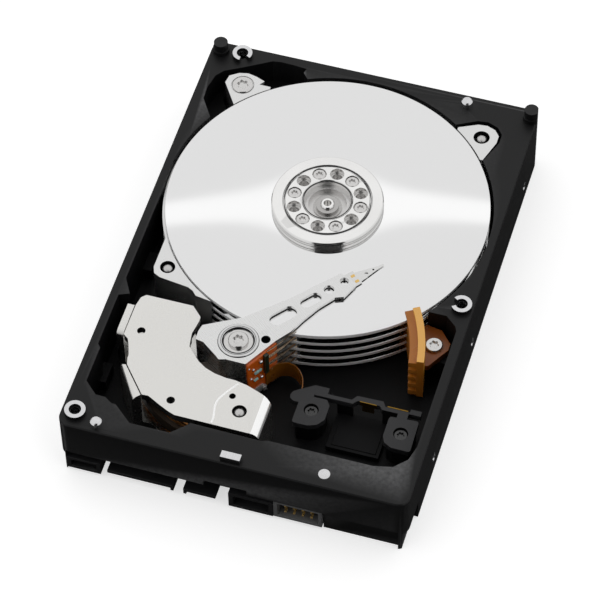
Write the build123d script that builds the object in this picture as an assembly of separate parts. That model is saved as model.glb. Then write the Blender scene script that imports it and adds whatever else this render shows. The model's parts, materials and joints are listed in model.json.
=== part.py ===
from build123d import *
from math import acos, atan2, cos, degrees, hypot, radians, sin
import os

# 3.5 inch hard disk drive with its cover off.  Millimetres.
# Origin: bottom centre.  +X right, +Y from the connector end to the disc end, +Z up.

# ---- driving sizes ----
WIDTH = 101.6
LENGTH = 147.0
CORNER_R = 3.5
FLOOR_TOP = 5.4
FLOOR_THICK = 2.4
WALL = 2.8                      # side wall beside the actuator bay
FRONT_WALL = 10.7               # wall behind the connectors
POST_HEIGHT = 4.1               # corner posts above the deck
BOSS_HEIGHT = 1.5               # cover screw bosses above the deck

PLATTER_R = 47.5
PLATTER_T = 1.27
PLATTER_COUNT = 5
DISC_PITCH = 3.3
WELL_GAP = 1.0                  # platter edge to the round wall
DECK_ABOVE_DISC = 0.3
SPINDLE_TO_BACK = 51.7
HUB_R = 12.5
HUB_WALL = 1.2
SPACER_R = 15.4
SHAFT_R = 2.0
SLEEVE_R = 4.2
CLAMP_R = 16.4
CLAMP_IN_R = 7.06
CLAMP_RISE = 2.5                # clamp's top above the upper disc
CLAMP_BOLT_R = 10.0
CLAMP_HOLE_R = 2.05
CUP_BEVEL = 0.45
WALL_GROOVES = (0.45, 1.05)     # above the upper disc
GROOVE_DEPTH = 0.22
HUB_RISE = 0.6
HUB_POCKET_R = 5.65             # cup around the shaft's tip
RUN_FIT = 0.03                  # radial clearance of a running fit
FIT = 0.02                      # radial clearance of a locating fit

ARM_FLOOR_GAP = 0.365
ARM_ANGLE = 50.3                # arm direction at rest, degrees from +X
TIP_R = 49.4                    # pivot to the lift tab
SLIDER_U = 46.6                 # pivot to the slider's middle
BEAM_T = 0.10
BEAM_GAP = 0.05                 # arm face to load beam
SLIDER_AIR = 0.115              # slider to disc
BASE_PLATE_T = 0.15
SLIDER_T = 0.30
HEAD_STACK = BEAM_GAP + BEAM_T + SLIDER_T + SLIDER_AIR
PIVOT_X = -10.0                 # pivot from the spindle
PIVOT_DY = -55.0
PIVOT_SHAFT_R = 3.0
PIVOT_RACE_T = 0.45
PIVOT_SLEEVE_R = 5.8
PIVOT_SLEEVE_BORE = 4.6

PLATE_T = 2.5                   # steel magnet plates
PLATE_BELOW_DECK = 0.5
MAGNET_T = 3.3
COIL_GAP = 0.4
COIL_ANGLE = 232.0              # coil direction at rest
COIL_IN_R = 13.4
COIL_OUT_R = 28.6
COIL_BAND = 4.2                 # width of the winding
COIL_INNER_HALF = 11.5
COIL_FRAME_R = 30.0
COIL_HALF = 23.0                # half angles of the coil and of its frame
FRAME_HALF = 26.0
FLEX_T = 0.5                    # flex board on the block's side
CHIP_T = 0.5
RIBBON_HALF_T = 0.12
RIBBON_Z1 = 13.4
PARK_PAST_EDGE = 12.2           # degrees from the disc's edge to the parked heads
SWING_IN = 8.4                  # degrees from rest to the inner tracks

RAMP_PLATE_T = 2.2
RAMP_SLOT_GAP = 0.13
RAMP_TOOTH_SKIN = 0.20
RAMP_OVER_DISC = 3.0            # degrees of ramp over the disc
RAMP_RUN = 21.5                 # degrees of ramp in all

SIDE_HOLE_Z = 6.35
SIDE_HOLES_FROM_FRONT = (28.5, 70.1, 130.1)
BOTTOM_HOLES_FROM_FRONT = (41.28, 85.73)
BOTTOM_HOLE_SPACING_X = 95.25
THREAD_R = 1.45                 # tapped for 6-32
COVER_THREAD_R = 1.25
THREAD_DEPTH = 4.4
RAIL = 6.4                      # width of the side rails below

PCB_Z = 0.6
PCB_T = 1.0
CHIP_T = 1.0
BAY_DEPTH = 7.8                 # connector bay, front to back
BAY_TOP = 8.9
TONGUE_Z0 = 2.7                 # SATA tongues
TONGUE_T = 1.23
CONTACT_PITCH = 1.27
JUMPER_PITCH = 2.54
JUMPER_PIN = 0.64

# ---- sizes that follow ----
HALF_W = WIDTH / 2
ARM_T = DISC_PITCH - PLATTER_T - 2 * HEAD_STACK
FRONT = -LENGTH / 2
BACK = LENGTH / 2
FLOOR_UNDER = FLOOR_TOP - FLOOR_THICK
ARM_Z = [FLOOR_TOP + ARM_FLOOR_GAP + ARM_T / 2 + DISC_PITCH * i for i in range(PLATTER_COUNT, -1, -1)]
DISC_Z = [z - DISC_PITCH / 2 for z in ARM_Z[:-1]]
DISC_TOP = DISC_Z[0] + PLATTER_T / 2
DISC_BOTTOM = DISC_Z[-1] - PLATTER_T / 2
DECK_Z = DISC_TOP + DECK_ABOVE_DISC
WELL_R = PLATTER_R + WELL_GAP
SX, SY = 0.0, BACK - SPINDLE_TO_BACK
PX, PY = SX + PIVOT_X, SY + PIVOT_DY
PIVOT_TO_SPINDLE = hypot(PIVOT_X, PIVOT_DY)
EDGE_SHARE = (PIVOT_TO_SPINDLE ** 2 + TIP_R ** 2 - PLATTER_R ** 2) / (2 * PIVOT_TO_SPINDLE * TIP_R)
EDGE_ANGLE = degrees(atan2(-PIVOT_DY, -PIVOT_X) - acos(EDGE_SHARE))
RAMP_START = EDGE_ANGLE + RAMP_OVER_DISC
RAMP_END = RAMP_START - RAMP_RUN
SWING_OUT = ARM_ANGLE - EDGE_ANGLE + PARK_PAST_EDGE
BAY_X = HALF_W - WALL
BAY_Y = FRONT + FRONT_WALL
BLOCK_Z0, BLOCK_Z1 = ARM_Z[-1] - ARM_T / 2, ARM_Z[0] + ARM_T / 2
PIVOT_SEAT_TOP = BLOCK_Z0 - 0.05
PIVOT_SHAFT_TOP = BLOCK_Z1 - 0.6
PLATE_TOP = DECK_Z - PLATE_BELOW_DECK
MAG_HI = PLATE_TOP - PLATE_T
MAG_LO = FLOOR_TOP + PLATE_T
COIL_Z0 = MAG_LO + MAGNET_T + COIL_GAP
COIL_Z1 = MAG_HI - MAGNET_T - COIL_GAP
CLAMP_TOP = DISC_TOP + CLAMP_RISE
HUB_TOP = DISC_TOP + HUB_RISE


# ---- helpers ----
def drum(x, y, r, z0, z1):
    """A cylinder standing between two heights."""
    return Pos(x, y, (z0 + z1) / 2) * Cylinder(r, z1 - z0)


def ring(x, y, r_in, r_out, z0, z1):
    """A tube standing between two heights."""
    return drum(x, y, r_out, z0, z1) - drum(x, y, r_in, z0 - 1, z1 + 1)


def block(x0, x1, y0, y1, z0, z1):
    """A box between two corners."""
    return Pos((x0 + x1) / 2, (y0 + y1) / 2, (z0 + z1) / 2) * Box(x1 - x0, y1 - y0, z1 - z0)


def plate(points, z0, z1, r=0.0):
    """A closed outline pulled up from z0 to z1, its corners rounded by r."""
    face = Sketch() + make_face(Polyline(*points, close=True))
    if r > 0:
        face = fillet(face.vertices(), r)
    return extrude(Pos(0, 0, z0) * face, z1 - z0)


def at(x, y, points):
    """Points given from an anchor, moved to it."""
    return [(x + dx, y + dy) for dx, dy in points]


def polar(x, y, r, angle):
    """The point at a radius and an angle in degrees from (x, y)."""
    return x + r * cos(radians(angle)), y + r * sin(radians(angle))


def sector(x, y, r_in, r_out, a0, a1, z0, z1):
    """A slice of a ring between two angles."""
    mid, half = (a0 + a1) / 2, radians((a1 - a0) / 2)
    arcs = []
    for r in (r_in, r_out):
        pts = [polar(x, y, r, a) for a in (a0, mid, a1)]
        arcs.append(ThreePointArc(*pts))
    sides = [Line(arcs[0] @ 0, arcs[1] @ 0), Line(arcs[0] @ 1, arcs[1] @ 1)]
    face = make_face(arcs + sides)
    return extrude(Pos(0, 0, z0) * face, z1 - z0)


def arm_frame(points):
    """Points along and across the arm, turned into the row frame."""
    c, s = cos(radians(ARM_ANGLE)), sin(radians(ARM_ANGLE))
    return [(PX + u * c - v * s, PY + u * s + v * c) for u, v in points]


def grown(points, gap):
    """An outline pushed outward from its own centre by about a gap."""
    cx = sum(p[0] for p in points) / len(points)
    cy = sum(p[1] for p in points) / len(points)
    out = []
    for x, y in points:
        d = hypot(x - cx, y - cy)
        out.append((x + (x - cx) * gap / d, y + (y - cy) * gap / d))
    return out


def star(x, y, r, z0, z1):
    """A six-lobed screw drive recess."""
    lobes = [drum(*polar(x, y, r * 0.74, 60 * i), r * 0.26, z0, z1) for i in range(6)]
    body = drum(x, y, r * 0.76, z0, z1)
    for lobe in lobes:
        body += lobe
    return body


def screw(x, y, head_r, head_t, top, shank_r, length):
    """A button head screw with its top face at a height and its shank below."""
    head = drum(x, y, head_r, top - head_t, top)
    head = chamfer(head.edges().group_by(Axis.Z)[-1], head_t * 0.25)
    head += drum(x, y, shank_r, top - head_t - length, top - head_t)
    return head - star(x, y, head_r * 0.55, top - head_t * 0.7, top + 1)


def save(name, shape):
    """Writes one node's solid or solids."""
    export_step(shape if isinstance(shape, Compound) else Compound([*shape.solids()]), f"parts/{name}.step")


def group(shapes):
    """Separate solids kept in one node."""
    return Compound([s for shape in shapes for s in shape.solids()])


# ---- magnet plates: outlines from the pivot ----
PLATE_OUTLINE = [
    (-30.5, 9.4), (-16.5, 9.4), (-13.3, 6.2), (-13.2, 4.7), (-13.9, 0.0), (-13.2, -4.5), (-11.0, -6.8),
    (-9.0, -8.8), (-6.5, -10.4), (-3.5, -11.5), (0.0, -12.1), (3.0, -12.2), (6.5, -12.9), (10.0, -14.1),
    (12.0, -14.9), (12.0, -28.4), (-10.0, -28.2), (-12.0, -27.5), (-15.0, -26.1), (-19.0, -24.0),
    (-20.9, -24.1), (-28.2, -15.3), (-28.8, -13.0), (-28.8, -12.0), (-30.0, -8.6), (-30.8, -6.8),
    (-32.4, -5.6), (-32.4, 5.0), (-31.8, 8.2),
]
UPTURNED_LIPS = [
    [(-34.7, -5.6), (-32.65, -5.6), (-32.65, 5.0), (-34.7, 5.0)],
    [(-21.2, -24.3), (-28.5, -15.5), (-30.4, -15.5), (-23.2, -26.3)],
]
LIP_ROOTS = [
    [(-34.7, -5.6), (-31.4, -5.6), (-31.4, 5.0), (-34.7, 5.0)],
    [(-20.0, -23.0), (-27.2, -14.3), (-30.4, -15.5), (-23.2, -26.3)],
]
DOWNTURNED_LIP = [(11.9, -28.4), (14.8, -28.4), (14.8, -16.4), (11.9, -14.85)]
PLATE_HOLES = [(-28.0, -3.1, 1.2), (-12.5, -23.7, 1.2), (3.7, -17.6, 0.95)]
PLATE_SCREW = (7.1, -22.0)
PLATE_CORNER_R = 0.45
ROLL_R = 1.8                    # rolled edges where the lower plate bends up
END_ROLL_R = 2.6                # broader roll where the upper plate bends down
MAGNET_A0, MAGNET_A1 = COIL_ANGLE - COIL_HALF - SWING_OUT + 4, COIL_ANGLE + COIL_HALF + SWING_IN - 1

# ---- ears of the separator plates: outlines from the spindle ----
EAR_OVERLAP = 2.1               # ears reach this far inside the blades' rim


def ear_root(angle):
    """An inner corner of an ear, on the blade at an angle in degrees."""
    return polar(0, 0, WELL_R - EAR_OVERLAP, angle)


EARS = [
    [(-43.0, 37.0), (-42.6, 39.8), (-40.0, 41.6), (-37.3, 42.2), (-34.5, 41.6), (-31.7, 40.5), (-32.8, 38.9),
     (-29.3, 38.9), ear_root(128.9), ear_root(142.9)],
    [(28.8, 39.3), (34.3, 41.9), (37.0, 42.2), (39.7, 41.2), (41.3, 39.2), (41.3, 36.5), (39.0, 29.1),
     ear_root(38.5), ear_root(51.7)],
    [(-41.8, -24.3), (-41.8, -35.3), (-41.0, -37.4), (-39.0, -38.4), (-30.0, -39.6), (-28.3, -40.5),
     (-27.0, -41.9), (-22.2, -42.6), ear_root(241.5), ear_root(207.4)],
]
EAR_SCREWS = [(-37.6, 37.4), (36.5, 37.4), (-37.9, -34.3)]
EAR_HOLE_R = [1.6, 2.4, 2.2]
EAR_Z0 = DISC_Z[-1] + DISC_PITCH * 0.1
BLADE_T = 0.9
BLADE_IN_R = 27.0
BLADE_A0, BLADE_A1 = 46.0, 240.0
BLADE_TIP_GAP = 0.5             # ear faces from the platter edge
BLADE_WALL_GAP = 0.2
EAR_POCKET_GAP = 0.9


# ---- places tied to the walls, the spindle and the pivot ----
EAR_POINTS = at(SX, SY, EAR_SCREWS)
PADS = [(x, y, 5.5) for x, y in EAR_POINTS]
COVER_BOSSES = [
    (-HALF_W + 4.1, FRONT + 5.0, None), (-HALF_W + 9.9, BACK - 3.8, -60), (HALF_W - 3.6, PY + 29.9, 180)]
PIN_R = 1.7
PIN_SPOTS = [(SX + 29.2, BACK - 3.8), (-HALF_W + 11.1, FRONT + 2.6)]
MOTOR_BOSS_R = 15.5
MOTOR_BOSS_Z = 0.9
TUBE_R_IN, TUBE_R_OUT = 4.5, 5.6
STATOR_Z0, STATOR_Z1 = FLOOR_TOP + 1.6, FLOOR_TOP + 7.6
STATOR_R = 9.7
ROTOR_GAP = 0.25
RAMP_BASE_Z = 16.0
RAMP_OUT_R = TIP_R + 3.4
RAMP_SCREW = (PX + 52.3, PY + 18.6)
RAMP_PLATE = at(PX, PY, [
    (43.5, 26.6), (50.5, 25.0), (53.0, 24.6), (56.6, 20.6), (56.6, 18.4), (52.5, 11.4), (50.8, 11.2),
])
BRACKET_Z = 14.0
BRACKET_T = 2.0
SHELF_Z = FLOOR_TOP + 0.6       # the bracket's lower shelf round the header
SHELF_T = 1.4
LUG_OUTLINES = [
    [(20.4, -6.4), (28.0, -6.4), (29.2, -8.2), (29.2, -13.2), (27.6, -15.4), (25.0, -16.4), (20.4, -16.4)],
    [(46.4, -7.0), (54.9, -6.4), (55.2, -17.2), (49.6, -17.1), (47.3, -15.9), (46.4, -13.8)],
]
RAIL_OUTLINE = [
    (24.0, -9.3), (18.9, -9.3), (17.7, -8.6), (17.4, -7.4), (17.8, -6.2), (18.8, -5.4), (23.4, -2.4),
    (27.6, -2.4), (27.6, -4.4), (34.6, -4.4), (35.8, -2.7), (43.4, -2.5), (44.4, -4.1), (51.5, -4.1),
    (51.6, -3.0), (54.8, -3.0), (54.9, -4.7), (51.4, -4.7), (51.4, -7.4), (48.4, -7.4), (48.4, -5.4),
    (43.8, -5.4), (42.8, -4.3), (36.4, -4.3), (35.2, -5.7), (24.0, -5.7),
]
LUG_CORNER_R = 0.8
POST_INSET = 0.8
BRACKET_SCREWS = at(PX, PY, [(24.6, -10.9), (51.0, -11.8)])
PLATE_SCREW_AT = (PX + PLATE_SCREW[0], PY + PLATE_SCREW[1])
PCB_HALF = HALF_W - RAIL - 0.5
PCB_SCREWS = [(-PCB_HALF + 3.5, SY - 14.0), (PCB_HALF - 3.5, SY - 14.0), (-PCB_HALF + 4.5, FRONT + 15.0),
              (PCB_HALF - 4.5, FRONT + 15.0)]
JUMPER_X0, JUMPER_X1 = -HALF_W + 63.0, -HALF_W + 77.1
HEADER_OUTLINE = at(PX, PY, [(32.0, -16.4), (45.0, -16.4), (45.0, -9.4), (32.0, -9.4)])


def base_casting():
    body = extrude(RectangleRounded(WIDTH, LENGTH, CORNER_R), DECK_Z)
    body = chamfer(body.edges().group_by(Axis.Z)[-1], 0.35)
    well = drum(SX, SY, WELL_R, FLOOR_TOP, DECK_Z + 1)
    left, right = -BAY_X, BAY_X
    bay = plate([
        (left, SY - 4), (left, PY + 13.2), (left + 2.8, PY + 8.2), (left - 0.2, PY + 6.9),
        (left - 0.2, PY - 11.1),
        (left + 0.8, PY - 12.3), (left + 0.8, BAY_Y + 5.4), (left + 4.8, BAY_Y + 1.6),
        (left + 7.7, BAY_Y + 1.5),
        (left + 10.0, BAY_Y), (PX + 16.0, BAY_Y - 0.6), (PX + 17.7, BAY_Y), (right - 10.0, BAY_Y),
        (right - 4.6, BAY_Y + 1.2), (right - 1.2, BAY_Y + 4.7), (right, BAY_Y + 9.5), (right, PY + 21.2),
        (right - 0.7, PY + 22.7), (right - 4.0, PY + 25.6), (right - 10.0, PY + 25.6),
        (right - 14.0, SY - 18.0),
        (SX, SY - 20.0), (SX - 20.0, SY - 20.0), (SX - 36.0, SY - 4.0),
    ], FLOOR_TOP, DECK_Z + 1)
    front_pocket = plate([
        (PX - 28.0, BAY_Y + 1.0), (PX - 26.3, BAY_Y - 0.4), (PX - 21.0, BAY_Y - 5.0), (PX - 9.3, BAY_Y - 5.0),
        (PX - 4.8, BAY_Y - 0.7), (PX - 4.8, BAY_Y + 1.0),
    ], DECK_Z - 8.0, DECK_Z + 1)
    rear_pocket = plate(at(SX, SY, [
        (-42.0, 20.7), (-47.2, 28.7), (-47.4, 33.2), (-46.4, 38.2), (-44.5, 40.7), (-40.0, 43.2),
        (-35.0, 46.2), (-31.5, 48.3), (-29.0, 48.7), (-25.5, 48.6), (-22.5, 48.4), (-20.8, 48.2),
        (-21.2, 46.5), (-19.0, 44.0), (-24.0, 36.0),
    ]), DECK_Z - 9.0, DECK_Z + 1)
    body -= well + bay + front_pocket + rear_pocket
    for x, y, r in PADS:
        pad = drum(x, y, r, FLOOR_TOP - 0.5, EAR_Z0) & extrude(Rectangle(WIDTH - 2, LENGTH - 2), DECK_Z)
        body += pad - drum(SX, SY, WELL_R, 0, DECK_Z)
    for ear in EARS:
        body -= plate(at(SX, SY, grown(ear, EAR_POCKET_GAP)), EAR_Z0, DECK_Z + 1)
    body += boss_at_ramp() + bracket_posts() + pivot_seat()
    # underside: a pocket for the circuit board, a shallower one behind it and the motor boss
    inner = HALF_W - RAIL
    body -= block(-inner, inner, FRONT + 6.0, SY - 7.8, -1, FLOOR_UNDER)
    body -= block(-inner, inner, SY - 7.8, BACK - 7.5, -1, FLOOR_UNDER - 1.4)
    body += drum(SX, SY, MOTOR_BOSS_R, MOTOR_BOSS_Z, FLOOR_TOP)
    body += ring(SX, SY, TUBE_R_IN, TUBE_R_OUT, MOTOR_BOSS_Z, STATOR_Z1 - 0.5)
    body -= drum(SX, SY, SHAFT_R, MOTOR_BOSS_Z + 0.6, FLOOR_TOP + 1)
    # connector bay with its stepped lower edge
    body -= block(-HALF_W + 1.9, JUMPER_X1 + 0.1, FRONT - 1, FRONT + BAY_DEPTH, -1, BAY_TOP)
    body -= block(JUMPER_X1 + 0.05, HALF_W - 2.5, FRONT - 1, FRONT + 1.4, -1, BAY_TOP - 0.6)
    body -= block(-HALF_W + 42.6, -HALF_W + 55.3, FRONT - 1, FRONT + 1.3, BAY_TOP - 1, BAY_TOP + 2.1)
    for x in (-HALF_W, HALF_W):
        body -= block(x - 1.5, x + 1.5, FRONT - 1, FRONT + 12.0, -1, BAY_TOP - 1.6)
    # corner posts, cover screw bosses and the front tab
    for x in (-HALF_W + 3.1, HALF_W - 1.9):
        post = drum(x, BACK - 3.7, 2.5, DECK_Z - 1, DECK_Z + 1.6)
        post += drum(x, BACK - 3.7, 2.1, DECK_Z, DECK_Z + POST_HEIGHT)
        body += post & extrude(RectangleRounded(WIDTH, LENGTH, CORNER_R), DECK_Z + POST_HEIGHT)
    for x, y, facing in COVER_BOSSES:
        boss = drum(x, y, 3.0, DECK_Z - 1, DECK_Z + BOSS_HEIGHT)
        if facing is not None:
            boss -= sector(x, y, 0.5, 5.0, facing - 32, facing + 32, DECK_Z, DECK_Z + BOSS_HEIGHT + 1)
        body += boss
        body -= drum(x, y, COVER_THREAD_R, DECK_Z - 6.0, DECK_Z + BOSS_HEIGHT + 1)
        body -= drum(x, y, 1.75, DECK_Z + BOSS_HEIGHT - 0.9, DECK_Z + BOSS_HEIGHT + 1)
    body += block(-HALF_W + 47.8, -HALF_W + 53.5, FRONT + 0.7, FRONT + 2.9, DECK_Z - 1, DECK_Z + 2.0)
    # tapped holes for mounting, in the sides and from below
    for y in SIDE_HOLES_FROM_FRONT:
        for side in (-1, 1):
            lug = block(HALF_W - THREAD_DEPTH - 1.0, HALF_W - 1.0, FRONT + y - 3.4, FRONT + y + 3.4,
                        FLOOR_TOP - 0.5, SIDE_HOLE_Z + 3.2)
            lug = lug if side > 0 else mirror(lug, Plane.YZ)
            body += lug - well
            hole = Pos(side * (HALF_W - THREAD_DEPTH / 2 + 0.5), FRONT + y, SIDE_HOLE_Z) * (
                Rot(0, 90, 0) * Cylinder(THREAD_R, THREAD_DEPTH + 1))
            body -= hole
    for y in BOTTOM_HOLES_FROM_FRONT:
        for side in (-1, 1):
            body -= drum(side * BOTTOM_HOLE_SPACING_X / 2, FRONT + y, THREAD_R, -1, THREAD_DEPTH - 1.4)
    # seats for pins and screws
    for x, y in PIN_SPOTS:
        body -= drum(x, y, PIN_R - 0.3, DECK_Z - 3.0, DECK_Z + 1)
    for x, y in PCB_SCREWS:
        body += drum(x, y, 2.4, PCB_Z + PCB_T, FLOOR_UNDER + 0.5)
        body -= drum(x, y, 0.9, -1, FLOOR_UNDER + 1.2)
    body -= drum(*EAR_POINTS[0], 1.0, EAR_Z0 - 1.8, EAR_Z0 + 1)
    body -= drum(*RAMP_SCREW, 1.0, RAMP_BASE_Z - 6.0, RAMP_BASE_Z + 1)
    for x, y in BRACKET_SCREWS:
        body -= drum(x, y, 1.0, BRACKET_Z - 6.5, BRACKET_Z)
    body -= drum(*PLATE_SCREW_AT, 1.0, FLOOR_UNDER + 1.0, FLOOR_TOP + 1)
    body -= plate(HEADER_OUTLINE, -1, FLOOR_TOP + 1)
    return body


def boss_at_ramp():
    top = RAMP_BASE_Z - RAMP_PLATE_T
    post = drum(*RAMP_SCREW, 3.6, FLOOR_TOP - 0.5, top)
    post += block(RAMP_SCREW[0], BAY_X + 0.5, RAMP_SCREW[1] - 3.6, RAMP_SCREW[1] + 3.6, FLOOR_TOP - 0.5, top)
    return post - drum(PX, PY, RAMP_OUT_R + 0.3, 0, DECK_Z) - drum(SX, SY, WELL_R, 0, DECK_Z)


def bracket_posts():
    posts = [plate(at(PX, PY, grown(lug, -POST_INSET)), FLOOR_TOP - 0.5, BRACKET_Z - BRACKET_T, LUG_CORNER_R)
             for lug in LUG_OUTLINES]
    return posts[0] + posts[1]


def pivot_seat():
    return drum(PX, PY, PIVOT_SHAFT_R - 0.2, FLOOR_TOP - 0.5, PIVOT_SEAT_TOP)


# ---- motor and discs ----
def spindle_shaft():
    shaft = drum(SX, SY, SHAFT_R, MOTOR_BOSS_Z + 0.6, HUB_TOP + 0.4)
    shaft = chamfer(shaft.edges().group_by(Axis.Z)[-1], 0.25)
    return shaft - drum(SX, SY, 1.15, HUB_TOP - 4.0, HUB_TOP + 1)


def stator_core():
    core = ring(SX, SY, TUBE_R_OUT, TUBE_R_OUT + 1.0, STATOR_Z0 + 2.0, STATOR_Z1 - 2.0)
    for i in range(9):
        tooth = block(TUBE_R_OUT + 0.5, STATOR_R - 0.5, -0.55, 0.55, STATOR_Z0 + 2.0, STATOR_Z1 - 2.0)
        tooth = Pos(SX, SY, 0) * Rot(0, 0, 40 * i) * tooth
        core += tooth
        core += sector(SX, SY, STATOR_R - 0.7, STATOR_R, 40 * i - 16, 40 * i + 16,
                       STATOR_Z0 + 2.0, STATOR_Z1 - 2.0)
    return core


def stator_coils():
    coils = []
    for i in range(9):
        outer = block(TUBE_R_OUT + 1.15, STATOR_R - 0.85, -1.15, 1.15, STATOR_Z0 + 0.6, STATOR_Z1 - 0.6)
        inner = block(TUBE_R_OUT, STATOR_R, -0.6, 0.6, STATOR_Z0 + 1.9, STATOR_Z1 - 1.9)
        coils.append(Pos(SX, SY, 0) * Rot(0, 0, 40 * i) * (outer - inner))
    return group(coils)


def spindle_hub():
    hub = drum(SX, SY, HUB_R, DISC_BOTTOM - 0.9, HUB_TOP)
    hub += drum(SX, SY, SPACER_R, DISC_BOTTOM - 0.9, DISC_BOTTOM)
    hub -= drum(SX, SY, HUB_R - HUB_WALL, 0, STATOR_Z1 + 2.5)
    hub += ring(SX, SY, SLEEVE_R, SLEEVE_R + 1.4, STATOR_Z1 + 0.4, STATOR_Z1 + 3.0)
    hub -= drum(SX, SY, HUB_POCKET_R, HUB_TOP - 1.6, HUB_TOP + 1)
    hub -= drum(SX, SY, SLEEVE_R, 0, HUB_TOP + 1)
    for i in range(6):
        hub -= drum(*polar(SX, SY, CLAMP_BOLT_R, 60 * i), 0.9, HUB_TOP - 5.0, HUB_TOP + 1)
        hub -= drum(*polar(SX, SY, CLAMP_BOLT_R, 60 * i + 30), 1.5, HUB_TOP - 2.0, HUB_TOP + 1)
    return hub


def bearing_sleeve():
    sleeve = ring(SX, SY, SHAFT_R + RUN_FIT, SLEEVE_R, FLOOR_TOP + 0.4, HUB_TOP - 1.2)
    return sleeve + ring(SX, SY, SHAFT_R + RUN_FIT, 3.3, HUB_TOP - 1.4, HUB_TOP - 0.3)


def rotor_magnet():
    return ring(SX, SY, STATOR_R + ROTOR_GAP, HUB_R - HUB_WALL, DISC_BOTTOM - 0.6, STATOR_Z1 + 1.0)


def platter(z):
    disc = ring(SX, SY, HUB_R + FIT, PLATTER_R, z - PLATTER_T / 2, z + PLATTER_T / 2)
    rim = [e for e in disc.edges().filter_by(GeomType.CIRCLE) if e.radius > HUB_R + 1]
    return chamfer(rim, 0.12)


def platter_spacers():
    return group([ring(SX, SY, HUB_R + FIT, SPACER_R, lower + PLATTER_T / 2, upper - PLATTER_T / 2)
                  for upper, lower in zip(DISC_Z, DISC_Z[1:])])


def disc_clamp():
    clamp = drum(SX, SY, CLAMP_R, DISC_TOP, CLAMP_TOP)
    clamp = chamfer(clamp.edges().group_by(Axis.Z)[-1], 0.3)
    clamp -= drum(SX, SY, HUB_R + 0.3, DISC_TOP - 1, HUB_TOP)
    clamp -= drum(SX, SY, CLAMP_IN_R, DISC_TOP - 1, CLAMP_TOP + 1)
    clamp -= Pos(SX, SY, CLAMP_TOP - CUP_BEVEL / 2) * Cone(CLAMP_IN_R, CLAMP_IN_R + CUP_BEVEL, CUP_BEVEL)
    for z in WALL_GROOVES:
        clamp -= ring(SX, SY, CLAMP_R - GROOVE_DEPTH, CLAMP_R + 1, DISC_TOP + z, DISC_TOP + z + GROOVE_DEPTH)
    clamp -= ring(SX, SY, 12.3, 13.1, CLAMP_TOP - 0.5, CLAMP_TOP + 1)
    for i in range(12):
        x, y = polar(SX, SY, CLAMP_BOLT_R, 30 * i)
        if i % 2 == 0:
            clamp -= drum(x, y, CLAMP_HOLE_R, CLAMP_TOP - 0.95, CLAMP_TOP + 1)
            clamp -= drum(x, y, 1.1, HUB_TOP - 1, CLAMP_TOP)
        else:
            clamp -= drum(x, y, CLAMP_HOLE_R, HUB_TOP - 1, CLAMP_TOP + 1)
    return clamp


def clamp_screws():
    spots = [polar(SX, SY, CLAMP_BOLT_R, 60 * i) for i in range(6)]
    return group([screw(x, y, 1.9, 0.8, CLAMP_TOP - 0.15, 0.9, 4.0) for x, y in spots])


# ---- actuator ----
BLOCK_OUTLINE = [(-11.5, 2.5), (-1.5, 8.1), (2.0, 7.9), (4.0, 7.0), (10.2, 3.1), (4.3, -7.2), (-1.5, -7.1),
                 (-3.5, -7.7), (-4.5, -6.8), (-9.5, -3.1), (-11.9, -2.7), (-12.0, 0.2)]
ARM_OUTLINE = [(3.0, 6.2), (7.2, 6.0), (20.8, 4.25), (28.4, 4.05), (37.4, 3.6), (38.9, -2.2), (33.4, -3.9),
               (31.0, -2.6), (25.4, -2.9), (19.3, -4.1), (14.0, -5.6), (8.9, -5.9), (3.0, -5.9)]
ARM_SLOTS = [(15.35, 0.3, 8.6, 4.2), (24.9, 0.45, 6.6, 3.5)]
ARM_HOLES = [(31.3, 0.7, 1.5), (36.6, 0.7, 1.3)]
BASE_U0, BASE_U1 = 33.6, 41.0
FLEX_A, FLEX_B = (10.2, 3.1), (4.3, -7.2)      # the block's side that carries the flex board


def slot(u, v, length, width, z0, z1):
    """A round-ended slot along the arm."""
    (x, y), = arm_frame([(u, v)])
    face = Pos(x, y, z0) * Rot(0, 0, ARM_ANGLE) * SlotOverall(length, width)
    return extrude(face, z1 - z0)


def actuator_block():
    body = plate(at(PX, PY, BLOCK_OUTLINE), BLOCK_Z0, BLOCK_Z1, 0.5)
    for z in ARM_Z:
        body += plate(arm_frame(ARM_OUTLINE), z - ARM_T / 2, z + ARM_T / 2, 0.5)
    z0, z1 = BLOCK_Z0 - 1, BLOCK_Z1 + 1
    for u, v, length, width in ARM_SLOTS:
        body -= slot(u, v, length, width, z0, z1)
    for u, v, r in ARM_HOLES:
        (x, y), = arm_frame([(u, v)])
        body -= drum(x, y, r, z0, z1)
    body -= drum(PX + 7.3, PY + 2.6, 1.35, BLOCK_Z1 - 4.0, z1)
    body -= drum(PX, PY, PIVOT_SLEEVE_R, z0, z1)
    return body


def pivot_sleeve():
    return ring(PX, PY, PIVOT_SLEEVE_BORE, PIVOT_SLEEVE_R, BLOCK_Z0 + 0.1, BLOCK_Z1 + 0.3)


RACE_SPANS = [(BLOCK_Z0 + 0.6, BLOCK_Z0 + 3.2), (PIVOT_SHAFT_TOP - 2.8, PIVOT_SHAFT_TOP - 0.2)]


def bearing_races(r_in, r_out):
    return group([ring(PX, PY, r_in, r_out, z0, z1) for z0, z1 in RACE_SPANS])


BALL_R = (PIVOT_SLEEVE_BORE - PIVOT_SHAFT_R - 2 * PIVOT_RACE_T) / 2 - 0.02


def bearing_balls():
    mid_r = (PIVOT_SLEEVE_BORE + PIVOT_SHAFT_R) / 2
    balls = []
    for z0, z1 in RACE_SPANS:
        for i in range(12):
            x, y = polar(PX, PY, mid_r, 30 * i)
            balls.append(Pos(x, y, (z0 + z1) / 2) * Sphere(BALL_R))
    return group(balls)


def pivot_shaft():
    shaft = drum(PX, PY, PIVOT_SHAFT_R, PIVOT_SEAT_TOP, PIVOT_SHAFT_TOP)
    return shaft - drum(PX, PY, 1.5, PIVOT_SHAFT_TOP - 7.0, PIVOT_SHAFT_TOP + 1)


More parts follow.
